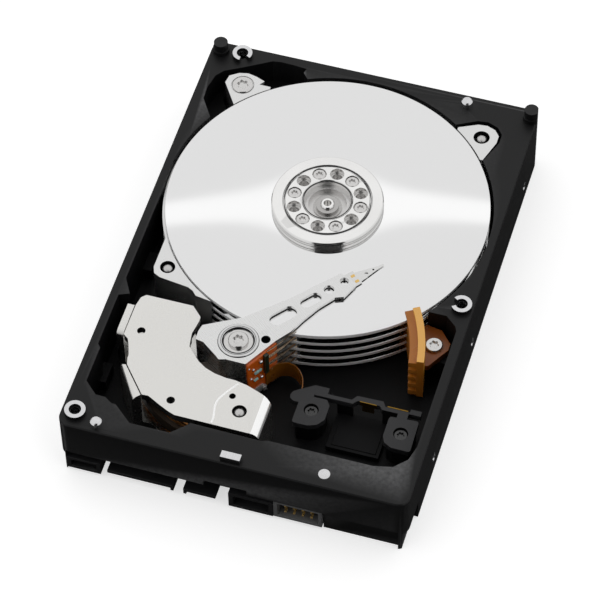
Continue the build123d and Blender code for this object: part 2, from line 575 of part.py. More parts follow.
def pivot_screw():
    skirt = ring(PX, PY, 1.4, PIVOT_SLEEVE_BORE - 0.3, PIVOT_SHAFT_TOP, PIVOT_SHAFT_TOP + 0.45)
    skirt = chamfer(skirt.edges().group_by(Axis.Z)[-1], 0.12)
    return skirt + screw(PX, PY, 2.9, 1.1, PIVOT_SHAFT_TOP + 1.5, 1.5, 6.4)


def coil_frame():
    a0, a1 = COIL_ANGLE - FRAME_HALF, COIL_ANGLE + FRAME_HALF
    frame = sector(PX, PY, 6.5, COIL_FRAME_R, a0, a1, COIL_Z0, COIL_Z1)
    frame -= sector(PX, PY, COIL_IN_R, COIL_OUT_R, COIL_ANGLE - COIL_HALF, COIL_ANGLE + COIL_HALF,
                    COIL_Z0 - 1, COIL_Z1 + 1)
    frame -= plate(at(PX, PY, BLOCK_OUTLINE), COIL_Z0 - 1, COIL_Z1 + 1)
    bobbin = sector(PX, PY, COIL_IN_R + COIL_BAND, COIL_OUT_R - COIL_BAND, COIL_ANGLE - COIL_INNER_HALF,
                    COIL_ANGLE + COIL_INNER_HALF, COIL_Z0, COIL_Z1)
    return group([frame, bobbin])


def voice_coil():
    coil = sector(PX, PY, COIL_IN_R, COIL_OUT_R, COIL_ANGLE - COIL_HALF, COIL_ANGLE + COIL_HALF,
                  COIL_Z0, COIL_Z1)
    return coil - sector(PX, PY, COIL_IN_R + COIL_BAND, COIL_OUT_R - COIL_BAND, COIL_ANGLE - COIL_INNER_HALF,
                         COIL_ANGLE + COIL_INNER_HALF, COIL_Z0 - 1, COIL_Z1 + 1)


def head_sides():
    """Each head's arm height and the side of the arm that it hangs from."""
    sides = []
    for i, z in enumerate(ARM_Z):
        if i > 0:
            sides.append((z, 1))
        if i < PLATTER_COUNT:
            sides.append((z, -1))
    return sides


def between(z, side, near, far):
    """Two heights on one side of an arm's middle, low one first."""
    return (z + near, z + far) if side > 0 else (z - far, z - near)


def suspensions():
    parts = []
    (hx, hy), = arm_frame([ARM_HOLES[1][:2]])
    for z, side in head_sides():
        z0, z1 = between(z, side, ARM_T / 2, ARM_T / 2 + BASE_PLATE_T)
        base = plate(arm_frame([(BASE_U0, 3.2), (BASE_U1, 3.0), (BASE_U1, -2.0), (BASE_U0, -2.4)]), z0, z1)
        base -= drum(hx, hy, 1.1, z0 - 1, z1 + 1)
        b0, b1 = between(z, side, ARM_T / 2 + BEAM_GAP, ARM_T / 2 + BEAM_GAP + BEAM_T)
        beam = plate(arm_frame([(BASE_U1, 2.3), (BASE_U1, -1.5), (SLIDER_U + 1.2, -0.45), (TIP_R + 0.3, -0.3),
                                (TIP_R + 0.3, 0.3), (SLIDER_U + 1.2, 0.45)]), b0, b1)
        for u, r in ((43.8, 0.5), (46.2, 0.3)):
            (x, y), = arm_frame([(u, 0.1)])
            beam -= drum(x, y, r, b0 - 1, b1 + 1)
        parts.append(base + beam)
    return group(parts)


def head_sliders():
    parts = []
    for z, side in head_sides():
        z0, z1 = between(z, side, ARM_T / 2 + BEAM_GAP + BEAM_T, ARM_T / 2 + BEAM_GAP + BEAM_T + SLIDER_T)
        parts.append(plate(arm_frame([(SLIDER_U - 0.6, -0.5), (SLIDER_U + 0.6, -0.5), (SLIDER_U + 0.6, 0.5),
                                      (SLIDER_U - 0.6, 0.5)]), z0, z1))
    return group(parts)


def side_board(a0, a1, out0, out1, z0, z1):
    """A slab along the block's right side, between two shares of it and two distances out."""
    length = hypot(FLEX_B[0] - FLEX_A[0], FLEX_B[1] - FLEX_A[1])
    tx, ty = (FLEX_B[0] - FLEX_A[0]) / length, (FLEX_B[1] - FLEX_A[1]) / length
    nx, ny = -ty, tx
    base = [(a0 * length, out0), (a1 * length, out0), (a1 * length, out1), (a0 * length, out1)]
    pts = [(PX + FLEX_A[0] + s * tx + o * nx, PY + FLEX_A[1] + s * ty + o * ny) for s, o in base]
    return plate(pts, z0, z1)


def actuator_flex():
    return side_board(0.02, 0.98, 0.0, FLEX_T, BLOCK_Z0 + 0.4, BLOCK_Z1 - 0.8)


def preamp_chip():
    return side_board(0.36, 0.47, FLEX_T, FLEX_T + CHIP_T, RIBBON_Z1 + 0.3, BLOCK_Z1 - 1.2)


# ---- magnet assembly ----
def magnet_plate_top():
    body = plate(at(PX, PY, PLATE_OUTLINE), MAG_HI, PLATE_TOP, PLATE_CORNER_R)
    lip = plate(at(PX, PY, DOWNTURNED_LIP), MAG_LO, PLATE_TOP)
    body += fillet(lip.faces().sort_by(Axis.X)[-1].edges().sort_by(Axis.Z)[-1], END_ROLL_R)
    for dx, dy, r in PLATE_HOLES:
        body -= drum(PX + dx, PY + dy, r, MAG_HI - 1, PLATE_TOP + 1)
    body -= drum(*PLATE_SCREW_AT, 2.1, PLATE_TOP - 1.3, PLATE_TOP + 1)
    return body - drum(*PLATE_SCREW_AT, 1.35, 0, PLATE_TOP)


def magnet_plate_bottom():
    body = plate(at(PX, PY, PLATE_OUTLINE), FLOOR_TOP, MAG_LO)
    for outline in LIP_ROOTS:
        body += plate(at(PX, PY, outline), FLOOR_TOP, MAG_LO)
    for outline in UPTURNED_LIPS:
        lip = plate(at(PX, PY, outline), FLOOR_TOP, PLATE_TOP)
        outer = lip.faces().filter_by(Axis.Z, reverse=True).sort_by(lambda f: f.center().X + f.center().Y)[0]
        body += fillet(outer.edges().sort_by(Axis.Z)[-1], ROLL_R)
    body += plate(at(PX, PY, DOWNTURNED_LIP), FLOOR_TOP, MAG_LO)
    return body - drum(*PLATE_SCREW_AT, 1.35, 0, MAG_LO + 1)


def magnet(z0, z1):
    return sector(PX, PY, 14.4, 27.5, MAGNET_A0, MAGNET_A1, z0, z1)


def magnet_standoff():
    return ring(*PLATE_SCREW_AT, 1.35, 2.4, MAG_LO, MAG_HI)


def magnet_screw():
    return screw(*PLATE_SCREW_AT, 1.9, 1.1, PLATE_TOP - 0.2, 1.0, PLATE_TOP - 1.3 - FLOOR_UNDER - 1.3)


def crash_stops():
    post_r, stop_r = 1.6, 22.0
    half = degrees((post_r + 0.3) / stop_r)
    low = polar(PX, PY, stop_r, COIL_ANGLE - FRAME_HALF - SWING_OUT - half)
    high = polar(PX, PY, stop_r, COIL_ANGLE + FRAME_HALF + SWING_IN + half)
    return group([drum(*low, post_r, MAG_LO, MAG_HI), drum(*high, post_r, MAG_LO, MAG_HI)])


# ---- separators, ramp ----
def separator_plate(i):
    z = (DISC_Z[i] + DISC_Z[i + 1]) / 2
    blade_mid = (BLADE_A0 + BLADE_A1) / 2
    blade_r = WELL_R - BLADE_WALL_GAP
    low, high = z - BLADE_T / 2, z + BLADE_T / 2
    body = sector(SX, SY, BLADE_IN_R, blade_r, BLADE_A0, blade_mid, low, high)
    body += sector(SX, SY, BLADE_IN_R, blade_r, blade_mid, BLADE_A1, low, high)
    ear_z0 = EAR_Z0 + DISC_PITCH * (PLATTER_COUNT - 2 - i)
    for ear, (x, y), r in zip(EARS, EAR_POINTS, EAR_HOLE_R):
        lug = plate(at(SX, SY, ear), ear_z0, ear_z0 + DISC_PITCH)
        lug -= drum(SX, SY, PLATTER_R + BLADE_TIP_GAP, ear_z0 - 1, ear_z0 + DISC_PITCH + 1)
        body += lug
        body -= drum(x, y, r, ear_z0 - 1, ear_z0 + DISC_PITCH + 1)
        if i == 0 and r < 2:
            body -= drum(x, y, 3.45, ear_z0 + DISC_PITCH - 0.6, ear_z0 + DISC_PITCH + 1)
    return body


def separator_screw():
    top = EAR_Z0 + DISC_PITCH * (PLATTER_COUNT - 1)
    return screw(*EAR_POINTS[0], 3.2, 0.9, top + 0.3, 1.2, top - EAR_Z0 - 0.6) + drum(
        *EAR_POINTS[0], 1.0, EAR_Z0 - 1.6, EAR_Z0 + 1)


def load_ramp():
    z0, z1 = DISC_Z[-1] - 1.65, DISC_Z[0] + 1.9
    r_in, r_gap = TIP_R - 1.0, TIP_R + 1.3
    body = sector(PX, PY, r_in, RAMP_OUT_R, RAMP_END, RAMP_START, z0, z1)
    tooth = PLATTER_T / 2 + RAMP_SLOT_GAP + RAMP_TOOTH_SKIN
    for z in ARM_Z:
        open_half = DISC_PITCH / 2 - tooth
        low, high = z - open_half, z + open_half
        if z == ARM_Z[0]:
            high = z1 + 1
        if z == ARM_Z[-1]:
            low = z0 - 1
        body -= sector(PX, PY, r_in - 1, r_gap, RAMP_END - 5, RAMP_START + 5, low, high)
    slot_half = PLATTER_T / 2 + RAMP_SLOT_GAP
    for z in DISC_Z:
        body -= drum(SX, SY, PLATTER_R + 0.35, z - slot_half, z + slot_half)
    foot = plate(RAMP_PLATE, RAMP_BASE_Z - RAMP_PLATE_T, RAMP_BASE_Z)
    foot -= drum(SX, SY, PLATTER_R + 1.0, 0, DECK_Z)
    foot -= drum(PX, PY, RAMP_OUT_R - 0.4, 0, DECK_Z)
    foot -= drum(*RAMP_SCREW, 1.2, 0, DECK_Z)
    return body + foot


def ramp_screw():
    return screw(*RAMP_SCREW, 2.5, 0.9, RAMP_BASE_Z + 0.9, 1.0, RAMP_PLATE_T + 3.0)


# ---- flex bracket and cable ----
def flex_bracket():
    z0, z1 = BRACKET_Z - BRACKET_T, BRACKET_Z
    body = plate(at(PX, PY, RAIL_OUTLINE), z0, z1)
    for lug in LUG_OUTLINES:
        body += plate(at(PX, PY, lug), z0, z1, LUG_CORNER_R)
    shelf = block(PX + 30.6, PX + 46.0, PY - 17.4, PY - 4.7, SHELF_Z, SHELF_Z + SHELF_T)
    body += shelf - plate(HEADER_OUTLINE, 0, DECK_Z)
    for x0, x1 in ((30.6, 35.2), (43.9, 46.0)):
        body += block(PX + x0, PX + x1, PY - 5.4, PY - 4.7, SHELF_Z, z0 + 0.5)
    for x, y in BRACKET_SCREWS:
        body -= drum(x, y, 2.1, z1 - 1.5, z1 + 1) + drum(x, y, 1.2, 0, z1)
    return body


def bracket_screws():
    return group([screw(x, y, 2.0, 0.8, BRACKET_Z - 0.7, 1.0, 5.0) for x, y in BRACKET_SCREWS])


def flex_contacts():
    tab = block(PX + 37.0, PX + 41.9, PY - 4.55, PY - 4.3, BRACKET_Z - 1.6, BRACKET_Z + 0.1)
    tab += block(PX + 37.7, PX + 41.2, PY - 4.55, PY - 4.3, BRACKET_Z - 4.2, BRACKET_Z - 1.5)
    strip = block(PX + 45.0, PX + 51.0, PY - 4.1, PY - 3.8, BRACKET_Z - BRACKET_T, BRACKET_Z + 0.1)
    return group([tab, strip])


def preamp_header():
    return plate(grown(HEADER_OUTLINE, -0.1), PCB_Z + PCB_T, SHELF_Z + SHELF_T + 0.2)


def flex_cable():
    z0, z1 = BLOCK_Z0 + 1.3, RIBBON_Z1
    pts = at(PX, PY, [(8.3, -1.6), (9.65, 0.7), (11.1, 2.3), (13.0, 3.2), (15.1, 3.1), (17.2, 1.8),
                      (18.9, -0.5), (19.7, -3.0), (19.9, -4.75)])
    path = Spline(*pts, tangents=[(0.5, 0.87), (0.0, -1.0)])
    ribbon = make_face(offset_strip(path, RIBBON_HALF_T))
    return extrude(Pos(0, 0, z0) * ribbon, z1 - z0)


def offset_strip(path, half):
    """A thin closed outline along both sides of a path."""
    side_a, side_b = [], []
    for i in range(13):
        p, t = path.position_at(i / 12), path.tangent_at(i / 12)
        side_a.append((p.X - t.Y * half, p.Y + t.X * half))
        side_b.append((p.X + t.Y * half, p.Y - t.X * half))
    a, b = Spline(*side_a), Spline(*side_b)
    return [a, Line(a @ 1, b @ 1), b, Line(b @ 0, a @ 0)]


def locating_pins():
    pins = []
    for x, y in PIN_SPOTS:
        pin = drum(x, y, PIN_R - 0.3, DECK_Z - 3.0, DECK_Z) + drum(x, y, PIN_R, DECK_Z, DECK_Z + 2.2)
        pins.append(chamfer(pin.edges().group_by(Axis.Z)[-1], 0.5))
    return group(pins)


# ---- circuit board and connectors ----
def pcb():
    z0, z1 = PCB_Z, PCB_Z + PCB_T
    body = block(-PCB_HALF, PCB_HALF, FRONT + 6.2, SY - 8.2, z0, z1)
    body -= drum(SX, SY, MOTOR_BOSS_R + 1.0, z0 - 1, z1 + 1)
    for x, y in PCB_SCREWS:
        body -= drum(x, y, 1.1, z0 - 1, z1 + 1)
    return body


def chip(x, y, width, depth):
    z0 = PCB_Z + PCB_T
    return block(x - width / 2, x + width / 2, y - depth / 2, y + depth / 2, z0, z0 + CHIP_T)


def pcb_screws():
    out = []
    for x, y in PCB_SCREWS:
        head = drum(x, y, 1.9, PCB_Z - 0.5, PCB_Z) - star(x, y, 1.0, PCB_Z - 1, PCB_Z - 0.2)
        out.append(head + drum(x, y, 0.9, PCB_Z, FLOOR_UNDER + 1.0))
    return group(out)


def sata_connector():
    y1, back = FRONT + BAY_DEPTH - 0.1, 2.2
    x0 = -HALF_W + 2.0
    body = block(x0, JUMPER_X0 - 0.1, y1 - back, y1, PCB_Z + PCB_T, BAY_TOP - 0.2)
    body += block(x0, x0 + 10.0, FRONT, y1, 1.3, 6.2) - block(
        x0 + 1.2, x0 + 8.8, FRONT - 1, FRONT + 3.0, 2.4, 5.2)
    body += block(-HALF_W + 49.8, JUMPER_X0 - 0.1, FRONT, y1, 1.3, 7.6) - block(
        -HALF_W + 51.2, JUMPER_X0 - 1.4, FRONT - 1, FRONT + 3.0, 2.4, 6.4)
    body -= block(x0 - 1, JUMPER_X0, FRONT + 6.1, y1 + 1, 0, PCB_Z + PCB_T)
    for t0, t1, key in ((-HALF_W + 13.9, -HALF_W + 33.5, 1), (-HALF_W + 36.4, -HALF_W + 45.9, -1)):
        body += block(t0, t1, FRONT + 0.2, y1, TONGUE_Z0, TONGUE_Z0 + TONGUE_T)
        k0, k1 = (t1 - 0.9, t1) if key > 0 else (t0, t0 + 0.9)
        body += block(k0, k1, FRONT + 0.2, y1 - 1.0, TONGUE_Z0 - 1.1, TONGUE_Z0 + 0.1)
    return body


def sata_contacts():
    strips = []
    for start, count in ((-HALF_W + 14.35, 15), (-HALF_W + 37.9, 7)):
        for i in range(count):
            x = start + CONTACT_PITCH * i
            strips.append(block(x - 0.35, x + 0.35, FRONT + 0.9, FRONT + 5.4, TONGUE_Z0 - 0.12, TONGUE_Z0))
    return group(strips)


def jumper_block():
    y1 = FRONT + BAY_DEPTH - 0.1
    body = block(JUMPER_X0, JUMPER_X1, FRONT + 0.05, y1, PCB_Z + PCB_T, BAY_TOP - 0.1)
    body -= block(JUMPER_X0 + 1.1, JUMPER_X1 - 1.1, FRONT - 1, y1 - 2.0, PCB_Z + PCB_T + 1.0, BAY_TOP - 0.9)
    return body - block(JUMPER_X0 - 1, JUMPER_X1 + 1, FRONT + 6.1, y1 + 1, 0, PCB_Z + PCB_T)


def jumper_pins():
    y1 = FRONT + BAY_DEPTH - 2.1
    mid = (JUMPER_X0 + JUMPER_X1) / 2
    half = JUMPER_PIN / 2
    pins = []
    for i in range(4):
        x = mid + JUMPER_PITCH * (i - 1.5)
        for z in (3.8, 3.8 + JUMPER_PITCH):
            pins.append(block(x - half, x + half, FRONT + 0.9, y1, z - half, z + half))
    return group(pins)


def foam_pad():
    return block(-13.0, 22.0, PY - 6.0, PY + 14.0, PCB_Z + PCB_T, FLOOR_UNDER)


SINGLE_NODES = [
    base_casting, locating_pins, spindle_shaft, stator_core, stator_coils, spindle_hub, bearing_sleeve,
    rotor_magnet, platter_spacers, disc_clamp, clamp_screws, actuator_block, pivot_sleeve,
    bearing_balls, pivot_shaft, pivot_screw, coil_frame, voice_coil, suspensions, head_sliders,
    actuator_flex, preamp_chip, magnet_plate_top, magnet_plate_bottom, magnet_standoff, magnet_screw,
    crash_stops, separator_screw, load_ramp, ramp_screw, flex_bracket, bracket_screws, flex_contacts,
    preamp_header, flex_cable, pcb, pcb_screws, foam_pad, sata_connector, sata_contacts, jumper_block,
    jumper_pins,
]
CHIPS = {
    "controller_chip": (-22.0, PY + 4.0, 14.0, 14.0),
    "memory_chip": (-22.0, PY - 12.0, 12.0, 8.0),
    "motor_driver_chip": (33.0, PY + 4.0, 9.0, 9.0),
}


def main():
    os.makedirs("parts", exist_ok=True)
    for make in SINGLE_NODES:
        save(make.__name__, make())
    for i, z in enumerate(DISC_Z):
        save(f"platter_{i + 1}", platter(z))
    for i in range(PLATTER_COUNT - 1):
        save(f"separator_plate_{i + 1}", separator_plate(i))
    save("bearing_inner_races", bearing_races(PIVOT_SHAFT_R, PIVOT_SHAFT_R + PIVOT_RACE_T))
    save("bearing_outer_races", bearing_races(PIVOT_SLEEVE_BORE - PIVOT_RACE_T, PIVOT_SLEEVE_BORE))
    save("magnet_top", magnet(MAG_HI - MAGNET_T, MAG_HI))
    save("magnet_bottom", magnet(MAG_LO, MAG_LO + MAGNET_T))
    for name, (x, y, width, depth) in CHIPS.items():
        save(name, chip(x, y, width, depth))


if __name__ == "__main__":
    main()
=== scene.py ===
import bpy
import bmesh
import json
import numpy as np
from math import radians, sin, cos, pi, hypot
from mathutils import Vector, Matrix

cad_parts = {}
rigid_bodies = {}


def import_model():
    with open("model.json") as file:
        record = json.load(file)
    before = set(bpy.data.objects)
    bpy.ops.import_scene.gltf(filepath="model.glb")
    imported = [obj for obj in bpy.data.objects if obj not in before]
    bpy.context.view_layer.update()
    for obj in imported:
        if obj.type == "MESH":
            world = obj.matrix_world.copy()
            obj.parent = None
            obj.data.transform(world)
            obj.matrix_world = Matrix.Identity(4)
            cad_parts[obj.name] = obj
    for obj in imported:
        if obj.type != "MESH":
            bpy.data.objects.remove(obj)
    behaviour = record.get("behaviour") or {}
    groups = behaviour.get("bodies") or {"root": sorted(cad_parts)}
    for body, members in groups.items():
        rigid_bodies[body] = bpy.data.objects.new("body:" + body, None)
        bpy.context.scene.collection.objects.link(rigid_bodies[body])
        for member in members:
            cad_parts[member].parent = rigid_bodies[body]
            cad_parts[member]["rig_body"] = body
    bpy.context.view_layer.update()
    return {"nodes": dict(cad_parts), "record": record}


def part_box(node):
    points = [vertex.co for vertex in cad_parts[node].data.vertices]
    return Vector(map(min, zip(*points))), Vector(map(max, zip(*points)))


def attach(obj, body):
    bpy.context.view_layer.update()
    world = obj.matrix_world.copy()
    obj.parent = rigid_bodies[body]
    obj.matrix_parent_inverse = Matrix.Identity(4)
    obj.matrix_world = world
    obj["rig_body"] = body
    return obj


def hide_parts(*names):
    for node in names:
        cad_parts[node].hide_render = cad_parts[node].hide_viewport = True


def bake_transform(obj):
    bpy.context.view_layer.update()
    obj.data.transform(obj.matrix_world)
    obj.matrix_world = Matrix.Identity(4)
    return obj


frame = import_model()
nodes = frame["nodes"]
mm = 0.001
print("frame loaded:", len(nodes), "nodes")

# places read from the frame
discLow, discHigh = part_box("platter_1")
spindle = np.array([(discLow[0] + discHigh[0]) / 2, (discLow[1] + discHigh[1]) / 2])
sleeveLow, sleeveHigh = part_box("pivot_sleeve")
pivot = np.array([(sleeveLow[0] + sleeveHigh[0]) / 2, (sleeveLow[1] + sleeveHigh[1]) / 2])
deckZ = discHigh[2] + 0.3 * mm  # top of the casting, just above the top disc
armAngle = radians(50.3)  # the arm at rest, from +X


# camera, floor and light
view = {
    "place": (0.17942, -0.56226, 0.79138),
    "target": (-0.00024, -0.00589, 0.011),
    "roll": -1.437,
    "lens": 202.06,
    "sensor": 36.0,
}
sky = {
    "room": 0.80,  # the white room
    "gap": 0.015,  # the dark gap on the camera's side
    "gapEdges": (0.855, 0.885),  # cosines where the gap fades in
    "strip": 0.24,  # the strip light
    "stripRise": 0.0285,
    "stripSoft": (0.012, 0.031),
    "stripEnds": (0.25, 0.5),
    "leastDepth": 0.05,
}
floorPaper = {"size": 3.0, "white": 0.72, "glow": 0.62, "reflected": 0.10}


def aimAt(place, target, roll):
    # rotation whose -Z runs from place to target, then turned about it by roll degrees
    turn = (Vector(target) - Vector(place)).to_track_quat("-Z", "Y").to_matrix()
    return (turn @ Matrix.Rotation(radians(roll), 3, "Z")).to_4x4()


def buildCamera(v):
    data = bpy.data.cameras.new("camera")
    data.lens = v["lens"]
    data.sensor_width = v["sensor"]
    data.clip_end = 50.0
    cam = bpy.data.objects.new("camera", data)
    cam.matrix_world = aimAt(v["place"], v["target"], v["roll"])
    cam.location = v["place"]
    bpy.context.scene.collection.objects.link(cam)
    bpy.context.scene.camera = cam
    return cam


def link(tree, a, b):
    tree.links.new(a, b)


def mathNode(tree, op, a, b=None, c=None, clamp=False):
    n = tree.nodes.new("ShaderNodeMath")
    n.operation = op
    n.use_clamp = clamp
    for i, value in enumerate((a, b, c)):
        if value is None:
            continue
        if isinstance(value, (int, float)):
            n.inputs[i].default_value = value
        else:
            link(tree, value, n.inputs[i])
    return n.outputs[0]


def dotNode(tree, vector, axis):
    n = tree.nodes.new("ShaderNodeVectorMath")
    n.operation = "DOT_PRODUCT"
    link(tree, vector, n.inputs[0])
    n.inputs[1].default_value = axis
    return n.outputs["Value"]


def rangeNode(tree, value, low, high, outLow=0.0, outHigh=1.0):
    n = tree.nodes.new("ShaderNodeMapRange")
    n.interpolation_type = "SMOOTHSTEP"
    link(tree, value, n.inputs["Value"])
    n.inputs["From Min"].default_value = low
    n.inputs["From Max"].default_value = high
    n.inputs["To Min"].default_value = outLow
    n.inputs["To Max"].default_value = outHigh
    return n.outputs["Result"]


def buildSky(v, place, cam):
    # a white room, dark on the camera's side, with a strip light whose mirror image crosses the hub
    world = bpy.data.worlds.new("room")
    bpy.context.scene.world = world
    world.use_nodes = True
    tree = world.node_tree
    tree.nodes.clear()
    coords = tree.nodes.new("ShaderNodeTexCoord")
    direction = coords.outputs["Generated"]
    flat = tree.nodes.new("ShaderNodeVectorMath")
    flat.operation = "MULTIPLY"
    link(tree, direction, flat.inputs[0])
    flat.inputs[1].default_value = (1, 1, 0)
    unit = tree.nodes.new("ShaderNodeVectorMath")
    unit.operation = "NORMALIZE"
    link(tree, flat.outputs[0], unit.inputs[0])
    side = hypot(place[0], place[1])
    towards = (place[0] / side, place[1] / side, 0)
    gap = rangeNode(tree, dotNode(tree, unit.outputs[0], towards), *v["gapEdges"])
    level = mathNode(tree, "MULTIPLY_ADD", gap, v["gap"] - v["room"], v["room"])
    # the camera's own axes, mirrored in the discs
    turn = cam.matrix_world.to_3x3()
    rightAxis, upAxis, backAxis = (turn.col[i] for i in range(3))
    across = dotNode(tree, direction, (rightAxis[0], rightAxis[1], -rightAxis[2]))
    height = dotNode(tree, direction, (upAxis[0], upAxis[1], -upAxis[2]))
    depth = dotNode(tree, direction, (-backAxis[0], -backAxis[1], backAxis[2]))
    depthSafe = mathNode(tree, "MAXIMUM", depth, v["leastDepth"])
    rise = mathNode(tree, "DIVIDE", height, depthSafe)
    reach = mathNode(tree, "ABSOLUTE", mathNode(tree, "DIVIDE", across, depthSafe))
    offset = mathNode(tree, "ABSOLUTE", mathNode(tree, "SUBTRACT", rise, v["stripRise"]))
    strip = rangeNode(tree, offset, *v["stripSoft"], 1.0, 0.0)
    ends = rangeNode(tree, reach, *v["stripEnds"], 1.0, 0.0)
    band = mathNode(tree, "MULTIPLY", mathNode(tree, "MULTIPLY", strip, ends), v["strip"])
    total = mathNode(tree, "ADD", level, band)
    back = tree.nodes.new("ShaderNodeBackground")
    link(tree, total, back.inputs["Color"])
    out = tree.nodes.new("ShaderNodeOutputWorld")
    link(tree, back.outputs[0], out.inputs["Surface"])


def buildFloor(v):
    # seen straight on it is white paper; in reflections it is dim, as under a tented table
    s = v["size"]
    mesh = bpy.data.meshes.new("floor")
    mesh.from_pydata([(-s, -s, 0), (s, -s, 0), (s, s, 0), (-s, s, 0)], [], [(0, 1, 2, 3)])
    floor = bpy.data.objects.new("floor", mesh)
    bpy.context.scene.collection.objects.link(floor)
    mat = bpy.data.materials.new("floorPaper")
    mat.use_nodes = True
    tree = mat.node_tree
    tree.nodes.clear()
    paper = tree.nodes.new("ShaderNodeBsdfDiffuse")
    paper.inputs["Color"].default_value = (v["white"], v["white"], v["white"], 1)
    glow = tree.nodes.new("ShaderNodeEmission")
    glow.inputs["Strength"].default_value = v["glow"]
    both = tree.nodes.new("ShaderNodeAddShader")
    link(tree, paper.outputs[0], both.inputs[0])
    link(tree, glow.outputs[0], both.inputs[1])
    dim = tree.nodes.new("ShaderNodeBsdfDiffuse")
    dim.inputs["Color"].default_value = (v["reflected"], v["reflected"], v["reflected"], 1)
    ray = tree.nodes.new("ShaderNodeLightPath")
    mix = tree.nodes.new("ShaderNodeMixShader")
    link(tree, ray.outputs["Is Camera Ray"], mix.inputs[0])
    link(tree, dim.outputs[0], mix.inputs[1])
    link(tree, both.outputs[0], mix.inputs[2])
    out = tree.nodes.new("ShaderNodeOutputMaterial")
    link(tree, mix.outputs[0], out.inputs["Surface"])
    mesh.materials.append(mat)


camera = buildCamera(view)
bpy.context.view_layer.update()
buildSky(sky, view["place"], camera)
buildFloor(floorPaper)
bpy.context.scene.view_settings.view_transform = "Standard"
print("camera, floor and light ready")


# shader groups
def newGroup(name, ins, outs):
    tree = bpy.data.node_groups.new(name, "ShaderNodeTree")
    for label, kind, value in ins:
        socket = tree.interface.new_socket(name=label, in_out="INPUT", socket_type=kind)
        socket.default_value = value
    for label, kind in outs:
        tree.interface.new_socket(name=label, in_out="OUTPUT", socket_type=kind)
    return tree, tree.nodes.new("NodeGroupInput"), tree.nodes.new("NodeGroupOutput")


def noiseNode(tree, vector, scale, detail=3.0, rough=0.55):
    n = tree.nodes.new("ShaderNodeTexNoise")
    if vector is not None:
        link(tree, vector, n.inputs["Vector"])
    if isinstance(scale, (int, float)):
        n.inputs["Scale"].default_value = scale
    else:
        link(tree, scale, n.inputs["Scale"])
    n.inputs["Detail"].default_value = detail
    n.inputs["Roughness"].default_value = rough
    return n


def groupGrain():
    # fine grain and slow clouds, both from noise on object coordinates
    ins = [("Fine Scale", "NodeSocketFloat", 4000.0), ("Cloud Scale", "NodeSocketFloat", 40.0)]
    outs = [("Fine", "NodeSocketFloat"), ("Clouds", "NodeSocketFloat")]
    tree, i, o = newGroup("grainAndClouds", ins, outs)
    coords = tree.nodes.new("ShaderNodeTexCoord")
    fine = noiseNode(tree, coords.outputs["Object"], i.outputs["Fine Scale"], 2.0)
    cloud = noiseNode(tree, coords.outputs["Object"], i.outputs["Cloud Scale"], 4.0)
    link(tree, fine.outputs["Fac"], o.inputs["Fine"])
    link(tree, cloud.outputs["Fac"], o.inputs["Clouds"])
    return tree


def groupBrushed():
    # noise stretched along one direction, for rolled, brushed or milled metal
    ins = [("Stretch", "NodeSocketVector", (2500.0, 60.0, 2500.0)), ("Turn", "NodeSocketFloat", 0.0)]
    tree, i, o = newGroup("brushedLines", ins, [("Lines", "NodeSocketFloat")])
    coords = tree.nodes.new("ShaderNodeTexCoord")
    turn = tree.nodes.new("ShaderNodeVectorRotate")
    turn.rotation_type = "Z_AXIS"
    link(tree, coords.outputs["Object"], turn.inputs["Vector"])
    link(tree, i.outputs["Turn"], turn.inputs["Angle"])
    scaled = tree.nodes.new("ShaderNodeVectorMath")
    scaled.operation = "MULTIPLY"
    link(tree, turn.outputs[0], scaled.inputs[0])
    link(tree, i.outputs["Stretch"], scaled.inputs[1])
    lines = noiseNode(tree, scaled.outputs[0], 1.0, 3.0, 0.6)
    link(tree, lines.outputs["Fac"], o.inputs["Lines"])
    return tree


def groupTurned():
    # rings of lathe marks: noise read only by the distance from an upright axis
    ins = [("Centre X", "NodeSocketFloat", 0.0), ("Centre Y", "NodeSocketFloat", 0.0)]
    ins.append(("Pitch Scale", "NodeSocketFloat", 6000.0))
    tree, i, o = newGroup("turnedRings", ins, [("Rings", "NodeSocketFloat")])
    coords = tree.nodes.new("ShaderNodeTexCoord")
    parts = tree.nodes.new("ShaderNodeSeparateXYZ")
    link(tree, coords.outputs["Object"], parts.inputs[0])
    dx = mathNode(tree, "SUBTRACT", parts.outputs["X"], i.outputs["Centre X"])
    dy = mathNode(tree, "SUBTRACT", parts.outputs["Y"], i.outputs["Centre Y"])
    xx, yy = (mathNode(tree, "MULTIPLY", d, d) for d in (dx, dy))
    r = mathNode(tree, "SQRT", mathNode(tree, "ADD", xx, yy))
    along = tree.nodes.new("ShaderNodeCombineXYZ")
    link(tree, mathNode(tree, "MULTIPLY", r, i.outputs["Pitch Scale"]), along.inputs[0])
    rings = noiseNode(tree, along.outputs[0], 1.0, 2.0, 0.6)
    link(tree, rings.outputs["Fac"], o.inputs["Rings"])
    return tree


def groupEdge():
    # a mask that is 1 on sharp outer edges, broken up by noise; it places the painted edge highlight on the
    # casting
    ins = [("Low", "NodeSocketFloat", 0.52), ("High", "NodeSocketFloat", 0.62)]
    tree, i, o = newGroup("edgeHighlightMask", ins, [("Mask", "NodeSocketFloat")])
    geometry = tree.nodes.new("ShaderNodeNewGeometry")
    coords = tree.nodes.new("ShaderNodeTexCoord")
    broken = noiseNode(tree, coords.outputs["Object"], 900.0, 3.0)
    edge = tree.nodes.new("ShaderNodeMapRange")
    link(tree, geometry.outputs["Pointiness"], edge.inputs["Value"])
    link(tree, i.outputs["Low"], edge.inputs["From Min"])
    link(tree, i.outputs["High"], edge.inputs["From Max"])
    patches = mathNode(tree, "MULTIPLY_ADD", broken.outputs["Fac"], 1.2, 0.1, clamp=True)
    mask = mathNode(tree, "MULTIPLY", edge.outputs["Result"], patches, clamp=True)
    link(tree, mask, o.inputs["Mask"])
    return tree


groups = {"grain": groupGrain(), "brushed": groupBrushed(), "turned": groupTurned(), "edge": groupEdge()}


